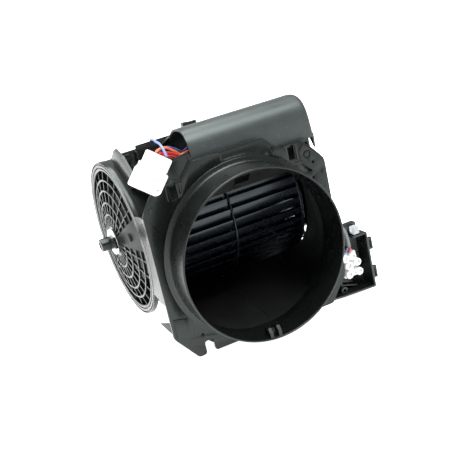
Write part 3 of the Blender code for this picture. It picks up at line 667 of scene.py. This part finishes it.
def scroll_shell(side, word):
    outer = (CASE_LEFT, SEAM - 0.15) if side < 0 else (SEAM + 0.15, CASE_RIGHT)
    inner = (CASE_LEFT + WALL, SEAM + 5) if side < 0 else (SEAM - 5, CASE_RIGHT - WALL)
    shell = prism(f"scroll_casing_{word}", "x", [scroll_outline(WALL)], *outer)
    shell = common(shell, prism("around", "y", [housing_section(0)], -10, 190))
    space = prism("space", "x", [scroll_outline(0)], *inner)
    space = common(space, prism("within", "y", [housing_section(WALL)], -10, 190))
    wall = (CASE_LEFT - 3, CASE_LEFT + 5) if side < 0 else (CASE_RIGHT - 5, CASE_RIGHT + 3)
    eye = rod("eye", "x", (ROTOR_Y, ROTOR_Z), 60.0, *wall, sides=160)
    shell = cut(shell, space)
    shell = cut(shell, eye)
    reach = (-82.6, CASE_LEFT + 0.5) if side < 0 else (CASE_RIGHT - 0.5, 83.5)
    front = PLATE_BACK + GAP
    ear = box("ear", (reach[0], front, -42), (reach[1], front + EAR_THICK, 52))
    shell = unite(shell, ear, seam_lip(side))
    holes = [rod("hole", "y", spot, 1.7, 0, 12, 24) for spot in PLATE_SCREWS if spot[0] * side > 0]
    shell = cut(shell, joined("holes", holes))
    if side < 0:
        hook = box("hook", (-13, 60, 82), (0, 61.8, 108))
        shell = unite(shell, hook, box("hook_end", (-13, 60, 104.5), (-7.5, 65.5, 108)))
    else:
        window = prism("window", "x", [ceiling_band(15.7, 22, -1, 4)], 6.5, 21)
        groove = prism("groove", "x", [ceiling_band(21, 30, -1, 0.9)], 6.0, 7.0)
        shell = cut(shell, window, groove)
    return rounded(shell, 0.35)


def build_housing():
    for side, word in ((-1, "left"), (1, "right")):
        finished(scroll_shell(side, word), "shell_black", f"scroll_shell_{word}")
    catches = rounded(joined("seam_catches", seam_catches()), 0.3)
    finished(catches, "shell_black")


# -------------------- inlet grilles

def dome_height(radius):
    """How far along the shaft a grille's dome stands out, at a radius."""
    return RIM_FACE - 1.0 + DOME_RISE * (1 - (radius / GRILLE_R) ** 2)


def grille_place(side):
    place = ROTOR @ FACING["x"]
    return place @ Matrix.Rotation(math.pi, 4, "Y") if side < 0 else place


def grille_rim(name, side):
    """The inlet ring: a flat face with two fine grooves, and the bell mouth inside."""
    back = (abs(CASE_LEFT) if side < 0 else CASE_RIGHT) + GAP
    rim = [
        (60.4, back), (62.4, back), (63.4, 77.5), (66.4, 81.2), (71.2, 81.2), (RIM_R, 82.0),
        (RIM_R, 85.2), (71.6, RIM_FACE), (70.7, RIM_FACE), (70.4, 84.6), (69.8, 84.6),
        (69.5, RIM_FACE), (67.3, RIM_FACE), (67.0, 84.6), (66.4, 84.6), (66.1, RIM_FACE),
        (64.6, RIM_FACE), (GRILLE_R, 85.4), (63.6, 80.0), (61.4, 74.0),
    ]
    return turned(name, rim, grille_place(side), 144)


def grille_ring(name, side, radius):
    top = dome_height(radius)
    section = [
        (radius - 0.85, top - 2.2), (radius + 0.85, top - 2.2), (radius + 0.85, top - 0.3),
        (radius + 0.5, top), (radius - 0.5, top), (radius - 0.85, top - 0.3),
    ]
    return turned(name, section, grille_place(side), 96)


def grille_rib(name, side, angle):
    """A rib that follows the dome, a little below the rings."""
    spots = [HUB_R - 1.0 + (GRILLE_R + 1.4 - HUB_R + 1.0) * i / 6 for i in range(7)]
    over = [(side * (dome_height(r) - 0.45), ROTOR_Z + r) for r in spots]
    under = [(side * (dome_height(r) - 2.7), ROTOR_Z + r) for r in reversed(spots)]
    return turned_about_x(prism(name, "y", [over + under], ROTOR_Y - 0.6, ROTOR_Y + 0.6), angle)


def fan(first, last, reach, count):
    """A fan-shaped outline round the shaft."""
    angles = [first + (last - first) * i / count for i in range(count + 1)]
    return [(ROTOR_Y, ROTOR_Z)] + [scroll_point(reach, angle) for angle in angles]


def grille_sector(side, first, last):
    """A closed sector of a grille."""
    spots = [HUB_R - 1.5 + (GRILLE_R + 2 - HUB_R + 1.5) * i / 8 for i in range(9)]
    over = [(r, dome_height(r) + 0.2) for r in spots]
    under = [(r, dome_height(r) - 2.0) for r in reversed(spots)]
    plate = turned("sector", over + under, grille_place(side), 144)
    return common(plate, prism("wedge", "x", [fan(first, last, 80, 4)], -100, 100))


def rim_band():
    """The band that joins the left inlet ring to the housing, over the top and in front."""
    back = abs(CASE_LEFT) + GAP
    profile = [(RIM_R - 6, back), (RIM_R - 6, 81.5), (RIM_R, 82.2), (RIM_R, 80.6), (RIM_R - 0.5, 80),
               (RIM_R - 0.5, back)]
    band = turned("band", profile, grille_place(-1), 144)
    return common(band, prism("reach", "x", [fan(-36, 180, 110, 5)], -100, -60))


def grille_centre(side):
    """The closed middle of the right grille."""
    spots = [HUB_R - 1.8 + (48.7 - HUB_R) * i / 6 for i in range(7)]
    over = [(r, dome_height(r) - 1.0) for r in spots]
    under = [(r, dome_height(r) - 2.6) for r in reversed(spots)]
    return turned("centre", over + under, grille_place(side), 96)


def sector_details():
    """The left sector's raised edges and the small pad in its middle."""
    found = [grille_rib("edge", -1, angle - 90) for angle in (2.8, 28.2)]
    pad = [(0, 1.6), (3.4, 1.6), (3.8, 1.2), (3.8, -2), (0, -2)]
    middle = scroll_point(44, 15.5)
    place = Matrix.Translation((-dome_height(44) * MM, middle[0] * MM, middle[1] * MM))
    place = place @ FACING["x"] @ Matrix.Rotation(math.pi, 4, "Y")
    found.append(turned("pad", pad, place, 40, closed=False))
    return found


def build_grille(side, word):
    name = f"inlet_grille_{word}_mesh"
    grille = grille_rim(name, side)
    rings = [grille_ring("ring", side, radius) for radius in (24.7, 35.4, 46.1, 55.5)]
    top = dome_height(HUB_R)
    hub = [(5.0, top - 2.7), (HUB_R, top - 2.7), (HUB_R, top - 0.4), (HUB_R - 0.4, top), (5.0, top)]
    rings.append(turned("hub", hub, grille_place(side), 96))
    ribs = [grille_rib("rib", side, (i + 0.5) * 360 / RIB_COUNT) for i in range(RIB_COUNT)]
    grille = unite(grille, joined("rings", rings), joined("ribs", ribs))
    if side < 0:
        web = smooth(unite(grille_sector(side, 2, 29), rim_band(), *sector_details()), 30)
        web.name = "grille_closed_web"
        finished(web, "grille_black", f"inlet_grille_{word}")
    else:
        grille = unite(grille, grille_centre(side), grille_sector(side, -92, -150))
    finished(smooth(grille, 30), "housing_black", f"inlet_grille_{word}")


def build_hub():
    profile = [(0, -78.8), (4.6, -78.8), (4.6, -95.3), (5.7, -95.3), (6, -95.6), (6, -104.8),
               (5.6, -105.6), (4.6, -106), (3.4, -106), (3.1, -105.4), (0, -105.2)]
    boss = turned_x("mount_spigot", profile, 64, closed=False)
    arm = box("arm", (-98, ROTOR_Y - 20, ROTOR_Z - 5), (-95.3, ROTOR_Y - 2, ROTOR_Z + 5))
    boss = rounded(unite(boss, turned_about_x(arm, -12)), 0.35)
    finished(boss, "housing_black", "motor_mount_boss")
    cushion = [(5.0, -94.8), (5.2, -95.0), (11.2, -95.0), (11.8, -94.6), (11.8, -93.0),
               (11.4, -92.6), (5.0, -92.6)]
    finished(turned_x("cushion_ring", cushion, 64), "nylon_white", "hub_cushion")


# -------------------- wheel

def blade(low, high, angle):
    """A forward-curved blade with a rounded tip."""
    centre = []
    for i in range(6):
        t = i / 5
        radius = BLADE_ROOT_R + 0.4 + (WHEEL_R - 0.7 - BLADE_ROOT_R) * t
        centre.append((radius, math.radians(11 * t * t)))
    half = [0.35, 0.55, 0.62, 0.62, 0.55, 0.35]
    front = [(r * math.sin(a) + h, r * math.cos(a)) for (r, a), h in zip(centre, half)]
    back = [(r * math.sin(a) - h, r * math.cos(a)) for (r, a), h in zip(centre, half)]
    outline = [(ROTOR_Y + u, ROTOR_Z + v) for u, v in front + back[::-1]]
    return turned_about_x(prism("blade", "x", [outline], low, high), angle)


def wheel_half(word, end, root):
    """Half of the wheel: an end ring, a narrower root ring by the disc, and the blades."""
    low, high = sorted((end, root))
    towards = 1 if root > end else -1
    inside = BLADE_ROOT_R - 0.5
    rings = []
    for outer, a, b in ((WHEEL_R, end, end + 2.5 * towards),
                        (BLADE_ROOT_R + 3.5, root - 2.5 * towards, root)):
        a, b = sorted((a, b))
        section = [(inside, a), (outer - 0.3, a), (outer, a + 0.3), (outer, b - 0.3),
                   (outer - 0.3, b), (inside, b)]
        rings.append(turned_x("ring", section, 160))
    blades = [blade(low + 0.4, high - 0.4, 360 * i / BLADE_COUNT) for i in range(BLADE_COUNT)]
    wheel = joined(f"blower_wheel_{word}", rings)
    wheel = unite(wheel, joined("blades", blades))
    finished(smooth(wheel, 30), "wheel_black", f"wheel_{word}", body="rotor")


def build_wheel():
    inner_ends = (corner("wheel_left", 1).x, corner("wheel_right", 0).x)
    wheel_half("left", corner("wheel_left", 0).x, inner_ends[0])
    wheel_half("right", corner("wheel_right", 1).x, inner_ends[1])
    low, high = inner_ends[0] + GAP, inner_ends[1] - GAP
    disc = [
        (4.3, 13), (8.6, 13), (9, 12.6), (9, high + 1.2), (10.4, high), (WHEEL_R - 0.3, high),
        (WHEEL_R, high - 0.3), (WHEEL_R, low + 0.3), (WHEEL_R - 0.3, low), (10.4, low),
        (9, low - 1.2), (9, -7.6), (8.6, -8), (4.3, -8),
    ]
    finished(turned_x("wheel_web", disc, 160), "wheel_black", "wheel_disc", body="rotor")


# -------------------- cover, trough and wiring

COVER_PROFILE = [
    (8, 74), (9, 84), (10.3, 93), (12.2, 99.5), (15.2, 104.7), (19.7, 108.6), (25.5, 110.6),
    (32, 110.9), (39.5, 109.8), (47, 106.6), (53, 101.5), (57, 95), (58.7, 85),
]


def cover_section(x):
    """The cover's outline at x: its right end is rounded, a little more at the top."""
    spots = smooth_route([(0, y, z) for y, z in COVER_PROFILE], 1.6)
    found = []
    for spot in spots:
        reach = 3 + 2 * min(1, max(0, (spot.z - 76) / 28))
        into = max(0.0, x - (COVER_END - reach)) / reach
        shrink = reach * (1 - math.sqrt(max(0.0, 1 - into * into)))
        towards = Vector((0, 36 - spot.y, 70 - spot.z)).normalized()
        place = spot + towards * shrink
        found.append(Vector((x, place.y, place.z)))
    return found


def build_cover():
    """The half-round cover: a shell lofted along X, closed and rounded at its right end."""
    places = [-30, -29, -15, 5, 25, 45, 62, 70, 73, 75.5, 77.5, 79.3, 80.8, 82, 83, 83.8, 84.4,
              84.8, COVER_END]
    shape = bmesh.new()
    rows = [[shape.verts.new(p * MM) for p in cover_section(x)] for x in places]
    for one, other in zip(rows, rows[1:]):
        for a, b, c, d in zip(one, one[1:], other[1:], other):
            shape.faces.new((a, b, c, d))
    shape.faces.new(rows[-1])
    bmesh.ops.recalc_face_normals(shape, faces=shape.faces)
    cover = put_shape("wiring_cover", shape)
    solid = cover.modifiers.new("thickness", "SOLIDIFY")
    solid.thickness = COVER_WALL * MM
    solid.offset = -1.0
    finished(smooth(baked(cover), 50), "cover_grey", "wire_cover")
    outline = [(8.6, 77), (16, 78), (15.2, 72.3), (9.4, 63.8)]
    tab = prism("cover_tab", "x", [soft_corners(outline, 0.8)], 83.2, 84.8)
    finished(rounded(tab, 0.3), "cover_grey", "wire_cover")
    lip = prism("cover_lip", "x", [[(56.7, 95), (58.9, 95.4), (60.4, 85), (58.2, 84.8)]], -29.5, 84)
    finished(rounded(lip, 0.3), "cover_grey", "wire_cover")


def build_trough():
    """The open channel left of the cover, with a stepped back wall, a strut and small clips."""
    channel = [(57, 102.5), (57, 88), (31, 86), (13, 77), (12.2, 78.7), (30.4, 87.8), (55.2, 89.7),
               (55.2, 102.5)]
    trough = prism("wiring_trough", "x", [channel], -77, -31)
    wall = box("wall", (-31.5, 55.2, 88), (-26.5, 57, 102.5))
    trough = cut(unite(trough, wall), box("step", (-80, 50, 99.8), (-61, 62, 110)))
    outline = [(31.4, 74.4), (42, 70.7), (76.6, 93.4), (58.3, 104.9), (40.9, 99.3), (26.5, 87.5)]
    side = prism("side", "x", [soft_corners(outline, 2)], -79, -76.4)
    side = cut(side, rod("ring_gap", "x", (ROTOR_Y, ROTOR_Z), RIM_R + 0.4, -82, -73, 160))
    foot = box("foot", (-50, 53, 83), (-46, 57.5, 88.5))
    strut = prism("strut", "y", [[(-39.9, 97.4), (-38.6, 98.2), (-30.9, 102.6), (-32.2, 101.6)]], 50, 55.6)
    clips = [
        box("clip", (-77, 40, 92), (-72.6, 41.6, 97.6)), box("clip", (-77, 46, 92), (-70, 47.4, 99.4)),
        box("clip", (-70.6, 46, 88.6), (-69, 56, 97.4)), box("clip", (-64, 47, 88.6), (-62.6, 56, 99.2)),
        box("clip", (-77, 33, 86), (-73.5, 34.4, 92)), box("clip", (-66, 38, 86.4), (-58, 39.2, 91)),
    ]
    trough = unite(trough, side, foot, strut, joined("clips", clips))
    finished(rounded(trough, 0.3), "housing_black", "wire_trough")


def build_capacitor():
    body = [(0, 46), (10.0, 46), (11.1, 45.6), (11.5, 44.6), (11.5, -9.9), (11.2, -10.5),
            (10.6, -10.8), (9.8, -10.8), (9.5, -9.6), (0, -9.6)]
    place = Matrix.Translation((0, 34.5 * MM, 94.5 * MM)) @ FACING["x"]
    can = turned("run_capacitor", body, place, 96, closed=False)
    finished(can, "capacitor_grey", "capacitor")


PLUG_FACE = Vector((-61.5, -6.2, 103.2))  # middle of the end that the wires enter
PLUG_IN = Vector((-0.644, 0, -0.765))  # from that end along the connector
PLUG_ACROSS = Vector((0.765, 0, -0.644))
WIRE_MOUTHS = {  # where each wire goes in: across the connector, and along Y
    "wire_violet": (-2.8, 2.6), "wire_orange": (-4.3, -1.5), "wire_red_upper": (0, 1.0),
    "wire_red_lower": (2.6, 1.2), "wire_light_blue": (5.0, -2.8),
}


def plug_place(along, across, y=0.0):
    return PLUG_FACE + PLUG_IN * along + PLUG_ACROSS * across + Vector((0, y, 0))


def plug_prism(name, spots, low, high, corner_radius=1.6):
    """An outline in the connector's own plane, with its depths from the connector's middle."""
    outline = [(plug_place(a, b).x, plug_place(a, b).z) for a, b in spots]
    return prism(name, "y", [soft_corners(outline, corner_radius)], PLUG_FACE.y + low,
                 PLUG_FACE.y + high)


def build_connector():
    plug = plug_prism("wire_plug", [(0, -10.3), (0, 10.3), (12, 10.3), (12, -10.3)], -4.6, 4.6)
    mouths = []
    for across, y in WIRE_MOUTHS.values():
        start, end = plug_place(-4, across, y), plug_place(3, across, y)
        mouths.append(wire_mesh("mouth", [start, start.lerp(end, 0.5), end], WIRE_D + 0.7))
    plug = cut(plug, *mouths)
    finished(rounded(plug, 0.7), "nylon_white", "connector_plug")
    body = [(12.3, -11.4), (12.3, 12.4), (28.4, 12.4), (31.5, 9.2), (31.5, -13), (16.5, -13), (14.6, -12)]
    socket = plug_prism("wire_socket", body, -5.2, 5.2)
    hole = plug_place(26.4, 9.2)
    window = plug_prism("window", [(15, -4), (15, 4), (20, 4), (20, -4)], -7, -4.4, 0.6)
    socket = cut(socket, rod("dot", "y", (hole.x, hole.z), 0.8, PLUG_FACE.y - 7, PLUG_FACE.y + 7, 20),
                 window)
    finished(rounded(socket, 0.8), "nylon_white", "connector_socket")
    catch = [(10.4, -13.2), (10.4, -9.6), (16.4, -9.6), (16.4, -12.4)]
    latch = plug_prism("plug_latch", catch, -2.4, 2.6, 0.9)
    finished(rounded(latch, 0.5), "nylon_white", "connector_socket")
    strip = [(3, -3.4), (3, 3.4), (18.6, 3.4), (18.6, -3.4)]
    tongue = plug_prism("plug_tongue", strip, -5.9, -4.2, 1.0)
    finished(rounded(tongue, 0.4), "nylon_white", "connector_plug")


def plug_wire(node, colour, points):
    """A wire that ends just inside its mouth in the connector."""
    wire(node, WIRE_D, f"insulation_{colour}", [*points, plug_place(-1.3, *WIRE_MOUTHS[node])])


def build_wires():
    plug_wire("wire_violet", "violet", [
        (-12.4, 30, 99), (-22, 28.5, 95.5), (-30.5, 26.5, 92.2), (-35.9, 22, 95.9),
        (-41.8, 18, 99.9), (-47.5, 13.5, 102.8), (-52.5, 8.5, 103.4), (-57.5, 2.5, 104.6),
    ])
    plug_wire("wire_orange", "orange", [
        (-12.4, 32.2, 96.4), (-24, 26, 92.3), (-34.9, 20, 91.9), (-39.6, 17, 95.9),
        (-45.8, 12, 100.9), (-52, 5, 105), (-58.6, -2, 106.7),
    ])
    plug_wire("wire_red_upper", "red", [
        (-12.4, 34.4, 93.8), (-26, 24, 88.6), (-36.5, 16.6, 90.6), (-42.6, 12, 95.7),
        (-50.6, 5.5, 100.3), (-56.6, 0.5, 102.4),
    ])
    plug_wire("wire_red_lower", "red", [
        (-12.4, 36.6, 91.2), (-27, 21.5, 84.6), (-35.5, 14.4, 86.6), (-41, 11, 91),
        (-46.9, 7.5, 95.6), (-54.2, 2, 99.2),
    ])
    plug_wire("wire_light_blue", "light_blue", [
        (-45, 63, 89.4), (-45, 62.8, 96), (-45, 60, 101.8), (-45.4, 56, 104.2), (-47, 50, 104.8),
        (-48.9, 38, 106.2), (-51.9, 25, 107.2), (-54.2, 13, 108.6), (-56.2, 3, 109.2),
        (-57.2, -4, 107.9), (-57.4, -8, 104.6),
    ])


# -------------------- terminal tray

TERMINALS = [
    (106, -57.3), (114, -57), (108.5, -65.3), (118.3, -64.3), (107.5, -74.3), (118.8, -74.3),
]


def build_tray():
    """The open-fronted box at the right, with its two side loops and two screw bosses."""
    outline = [
        (92, -36.5), (131, -36.3), (131.4, -93.5), (95.3, -91.8), (77.6, -90), (76.4, -66),
        (76.4, -46.5), (88, -46.5),
    ]
    inner = [
        (93, -38.3), (129.2, -38.1), (129.5, -91.6), (95.3, -90), (79.4, -88.4), (78.2, -66),
        (78.2, -48.3), (89, -48.3),
    ]
    tray = prism("terminal_box", "y", [soft_corners(outline, 1.5)], TRAY_FRONT, TRAY_BACK)
    space = prism("space", "y", [soft_corners(inner, 1.0)], TRAY_FRONT - 3, TRAY_BACK - TRAY_WALL)
    tray = cut(tray, space, box("entry", (106.5, 26.5, -40), (115.5, 37, -34)))
    for i, z in enumerate((-49.5, -79)):
        loop = box("loop", (130.4, 29, z - 6), (135.6, 32.5, z + 6))
        hole = box("hole", (132.2 + 0.2 * i, 28, z - 4.2), (134.2, 34, z + 4.2))
        tray = unite(tray, cut(loop, hole))
    spots = ((99.2, -88), (99.2, -71.5))
    posts = [rod("post", "y", spot, 3.6, 33, TRAY_BACK - 1, 40) for spot in spots]
    posts.append(box("wall_rib", (98.5, 37, -86), (99.9, TRAY_BACK - 1, -73)))
    posts.append(prism("wall_rib", "y", [[(101, -84.4), (101, -85.8), (118, -91.2), (118, -89.6)]],
                       40, TRAY_BACK - 1))
    tray = unite(tray, *posts)
    tray = cut(tray, joined("holes", [rod("hole", "y", spot, 1.5, 30, 46, 24) for spot in spots]))
    finished(rounded(tray, 0.3), "housing_black", "terminal_tray")


def build_block():
    """The white three-way terminal block with its towers and slotted screws."""
    back = TRAY_BACK - TRAY_WALL - GAP
    outline = [(103.6, -78.5), (120, -78.5), (120, -53.4), (103.6, -53.4)]
    block = prism("screw_block", "y", [soft_corners(outline, 1.5)], 37, back)
    tower = [(0, -35.5), (2.3, -35.5), (2.3, -32.3), (2.6, -32), (3.4, -32), (3.7, -32.3),
             (3.7, -back + 3), (0, -back + 3)]
    for spot in TERMINALS:
        block = unite(block, turned_y("tower", tower, spot, 40))
    for z in (-61.2, -69.8):
        block = cut(block, box("groove", (103, 36, z - 0.5), (121, 38.6, z + 0.5)))
    finished(rounded(block, 0.3), "nylon_white", "terminal_block")
    head = [(0.2, -33.2), (1.6, -33.2), (1.9, -33.5), (1.9, -35.3), (0, -35.3)]
    for i, (u, v) in enumerate(TERMINALS):
        screw = turned_y(f"clamp_screw_{i + 1}", head, (u, v), 32)
        screw = cut(screw, box("slot", (u - 2.2, 32, v - 0.3), (u + 2.2, 33.9, v + 0.3)))
        finished(smooth(screw), "steel_zinc", f"terminal_screw_{i + 1}")


def build_tray_wiring():
    wire("tray_lead", 4.2, "sheath_grey", [
        (79, 14.5, 80), (79, 13.6, 60), (79, 13.6, 20), (79, 13.6, -18), (85, 18, -31),
        (97, 27, -29.5), (106, 31.5, -26.5), (110, 33, -30), (111.6, 33, -38), (111.9, 33, -46.8),
    ])
    wire("tray_wire_red", 2.4, "insulation_red", [
        (113, 33, -47.4), (112.6, 33.2, -49.5), (112.6, 36, -51.3), (112.9, 41, -51.6),
    ])
    wire("tray_wire_blue", 1.8, "insulation_blue", [
        (110.4, 33, -47.4), (109, 33.5, -50), (107.8, 36.5, -51.8), (107.5, 41, -52.1),
    ])
    outline = [
        (101.5, -36.2), (101.5, -25.5), (125, -25.5), (125, -36.2), (112, -36.2), (112, -28),
        (103.5, -28), (103.5, -36.2),
    ]
    clip = prism("lead_clip", "y", [soft_corners(outline, 0.7)], 35.5, 42)
    finished(rounded(clip, 0.3), "housing_black", "cable_clip")
    outline = [(116.2, -34.8), (123, -34.8), (123, -27.4), (116.2, -27.4)]
    sleeve = prism("clear_sleeve", "y", [soft_corners(outline, 1.2)], 27, 34)
    finished(rounded(sleeve, 0.6), "clear_plastic", "clear_tag")
    grommet = [(0, 89), (2.2, 89), (2.6, 88.8), (2.8, 88.3), (2.8, 86.2), (2.5, 85.6), (0, 85.6)]
    place = Matrix.Translation((-45 * MM, 63 * MM, 0))
    bush = turned("wall_grommet", grommet, place, 48, closed=False)
    finished(bush, "nylon_white", "wire_grommet")


def main():
    build_front()
    build_collar()
    build_housing()
    for side, word in ((-1, "left"), (1, "right")):
        build_grille(side, word)
    build_hub()
    build_wheel()
    build_cover()
    build_trough()
    build_capacitor()
    build_connector()
    build_wires()
    build_tray()
    build_block()
    build_tray_wiring()
    slots = {row["node"]: row["material_slot"] for row in frame["record"]["subparts"]}
    for name, node in frame["nodes"].items():
        node.data.materials.clear()
        node.data.materials.append(MATERIALS[slots[name]])
        smooth(node)


# -------------------- studio and camera

FLOOR_REACH = 40.0  # metres each way, so that its edge lies on the horizon
FLOOR_DROP = 0.0005  # metres below the object, so that the two never touch
FLOOR_GLOW = 1.0
PALE = (0.78, 0.78, 0.775, 1)
DIM_PLACE = (0.25, -0.6)  # middle of the floor's patch without glow, which the plate reflects
DIM_REACH = (0.3, 0.62)  # metres from its middle: where the glow starts, and is full
SKY, HORIZON = 0.3, 1.0  # brightness of the surroundings, high up and near the floor
SKY_STARTS, SKY_FULL = 0.1, 0.3  # heights, as parts of straight up
LAMPS = (  # name, place and size in metres, power in watts
    ("top_softbox", (-0.2, 0.4, 1.4), 1.7, 50),
    ("front_softbox", (0.3, -0.75, 1.5), 1.2, 36),
)


def low_floor():
    return cad_box[0].z - FLOOR_DROP


def glowing_floor():
    """A pale sweep that glows like a light table, but for a patch in front, so shadows stay faint."""
    made, tree, shader = shader_of("pale_floor")
    settle(shader, {"Base Color": PALE, "Roughness": 0.9, "Emission Color": (1, 1, 0.99, 1)})
    place = tree.nodes.new("ShaderNodeTexCoord")
    apart = tree.nodes.new("ShaderNodeVectorMath")
    apart.operation = "DISTANCE"
    apart.inputs[1].default_value = (*DIM_PLACE, low_floor())
    tree.links.new(place.outputs["Object"], apart.inputs[0])
    glow = spread(tree, apart.outputs["Value"], (*DIM_REACH, 0.0, FLOOR_GLOW), "SMOOTHSTEP")
    tree.links.new(glow, shader.inputs["Emission Strength"])
    return made


def surroundings():
    """A white horizon under a dimmer sky."""
    world = bpy.data.worlds.new("studio")
    world.use_nodes = True
    tree = world.node_tree
    place = tree.nodes.new("ShaderNodeTexCoord")
    split = tree.nodes.new("ShaderNodeSeparateXYZ")
    tree.links.new(place.outputs["Generated"], split.inputs["Vector"])
    back = tree.nodes["Background"]
    back.inputs["Color"].default_value = (1, 1, 1, 1)
    fall = spread(tree, split.outputs["Z"], (SKY_STARTS, SKY_FULL, HORIZON, SKY), "SMOOTHSTEP")
    tree.links.new(fall, back.inputs["Strength"])
    bpy.context.scene.world = world


def studio():
    shape = bmesh.new()
    bmesh.ops.create_grid(shape, x_segments=1, y_segments=1, size=FLOOR_REACH,
                          matrix=Matrix.Translation((0, 0, low_floor())))
    floor = put_shape("floor", shape)
    floor.data.materials.append(glowing_floor())
    surroundings()
    for name, place, size, power in LAMPS:
        lamp = bpy.data.lights.new(name, "AREA")
        lamp.shape = "DISK"
        lamp.size = size
        lamp.energy = power
        holder = bpy.data.objects.new(name, lamp)
        bpy.context.scene.collection.objects.link(holder)
        holder.location = place
        holder.rotation_euler = (-Vector(place)).to_track_quat("-Z", "Y").to_euler()
        holder.visible_camera = False


CAMERA_PLACE = (-0.2751, -0.6747, 0.2601)
CAMERA_AZIMUTH, CAMERA_HEIGHT, CAMERA_ROLL = -21.34, 18.64, -12.81  # degrees
SENSOR, LENS = 36, 69  # millimetres


def camera():
    """The viewpoint: in front, from the left, a little above, and rolled."""
    lens = bpy.data.cameras.new("camera")
    lens.sensor_width = SENSOR
    lens.lens = LENS
    lens.clip_start = 0.01
    holder = bpy.data.objects.new("camera", lens)
    bpy.context.scene.collection.objects.link(holder)
    turn = Matrix.Identity(4)
    for degrees, axis in ((CAMERA_AZIMUTH, "Z"), (90 - CAMERA_HEIGHT, "X"), (CAMERA_ROLL, "Z")):
        turn = turn @ Matrix.Rotation(math.radians(degrees), 4, axis)
    holder.matrix_world = Matrix.Translation(CAMERA_PLACE) @ turn
    bpy.context.scene.camera = holder
    bpy.context.scene.view_settings.view_transform = "Standard"


main()
studio()
camera()
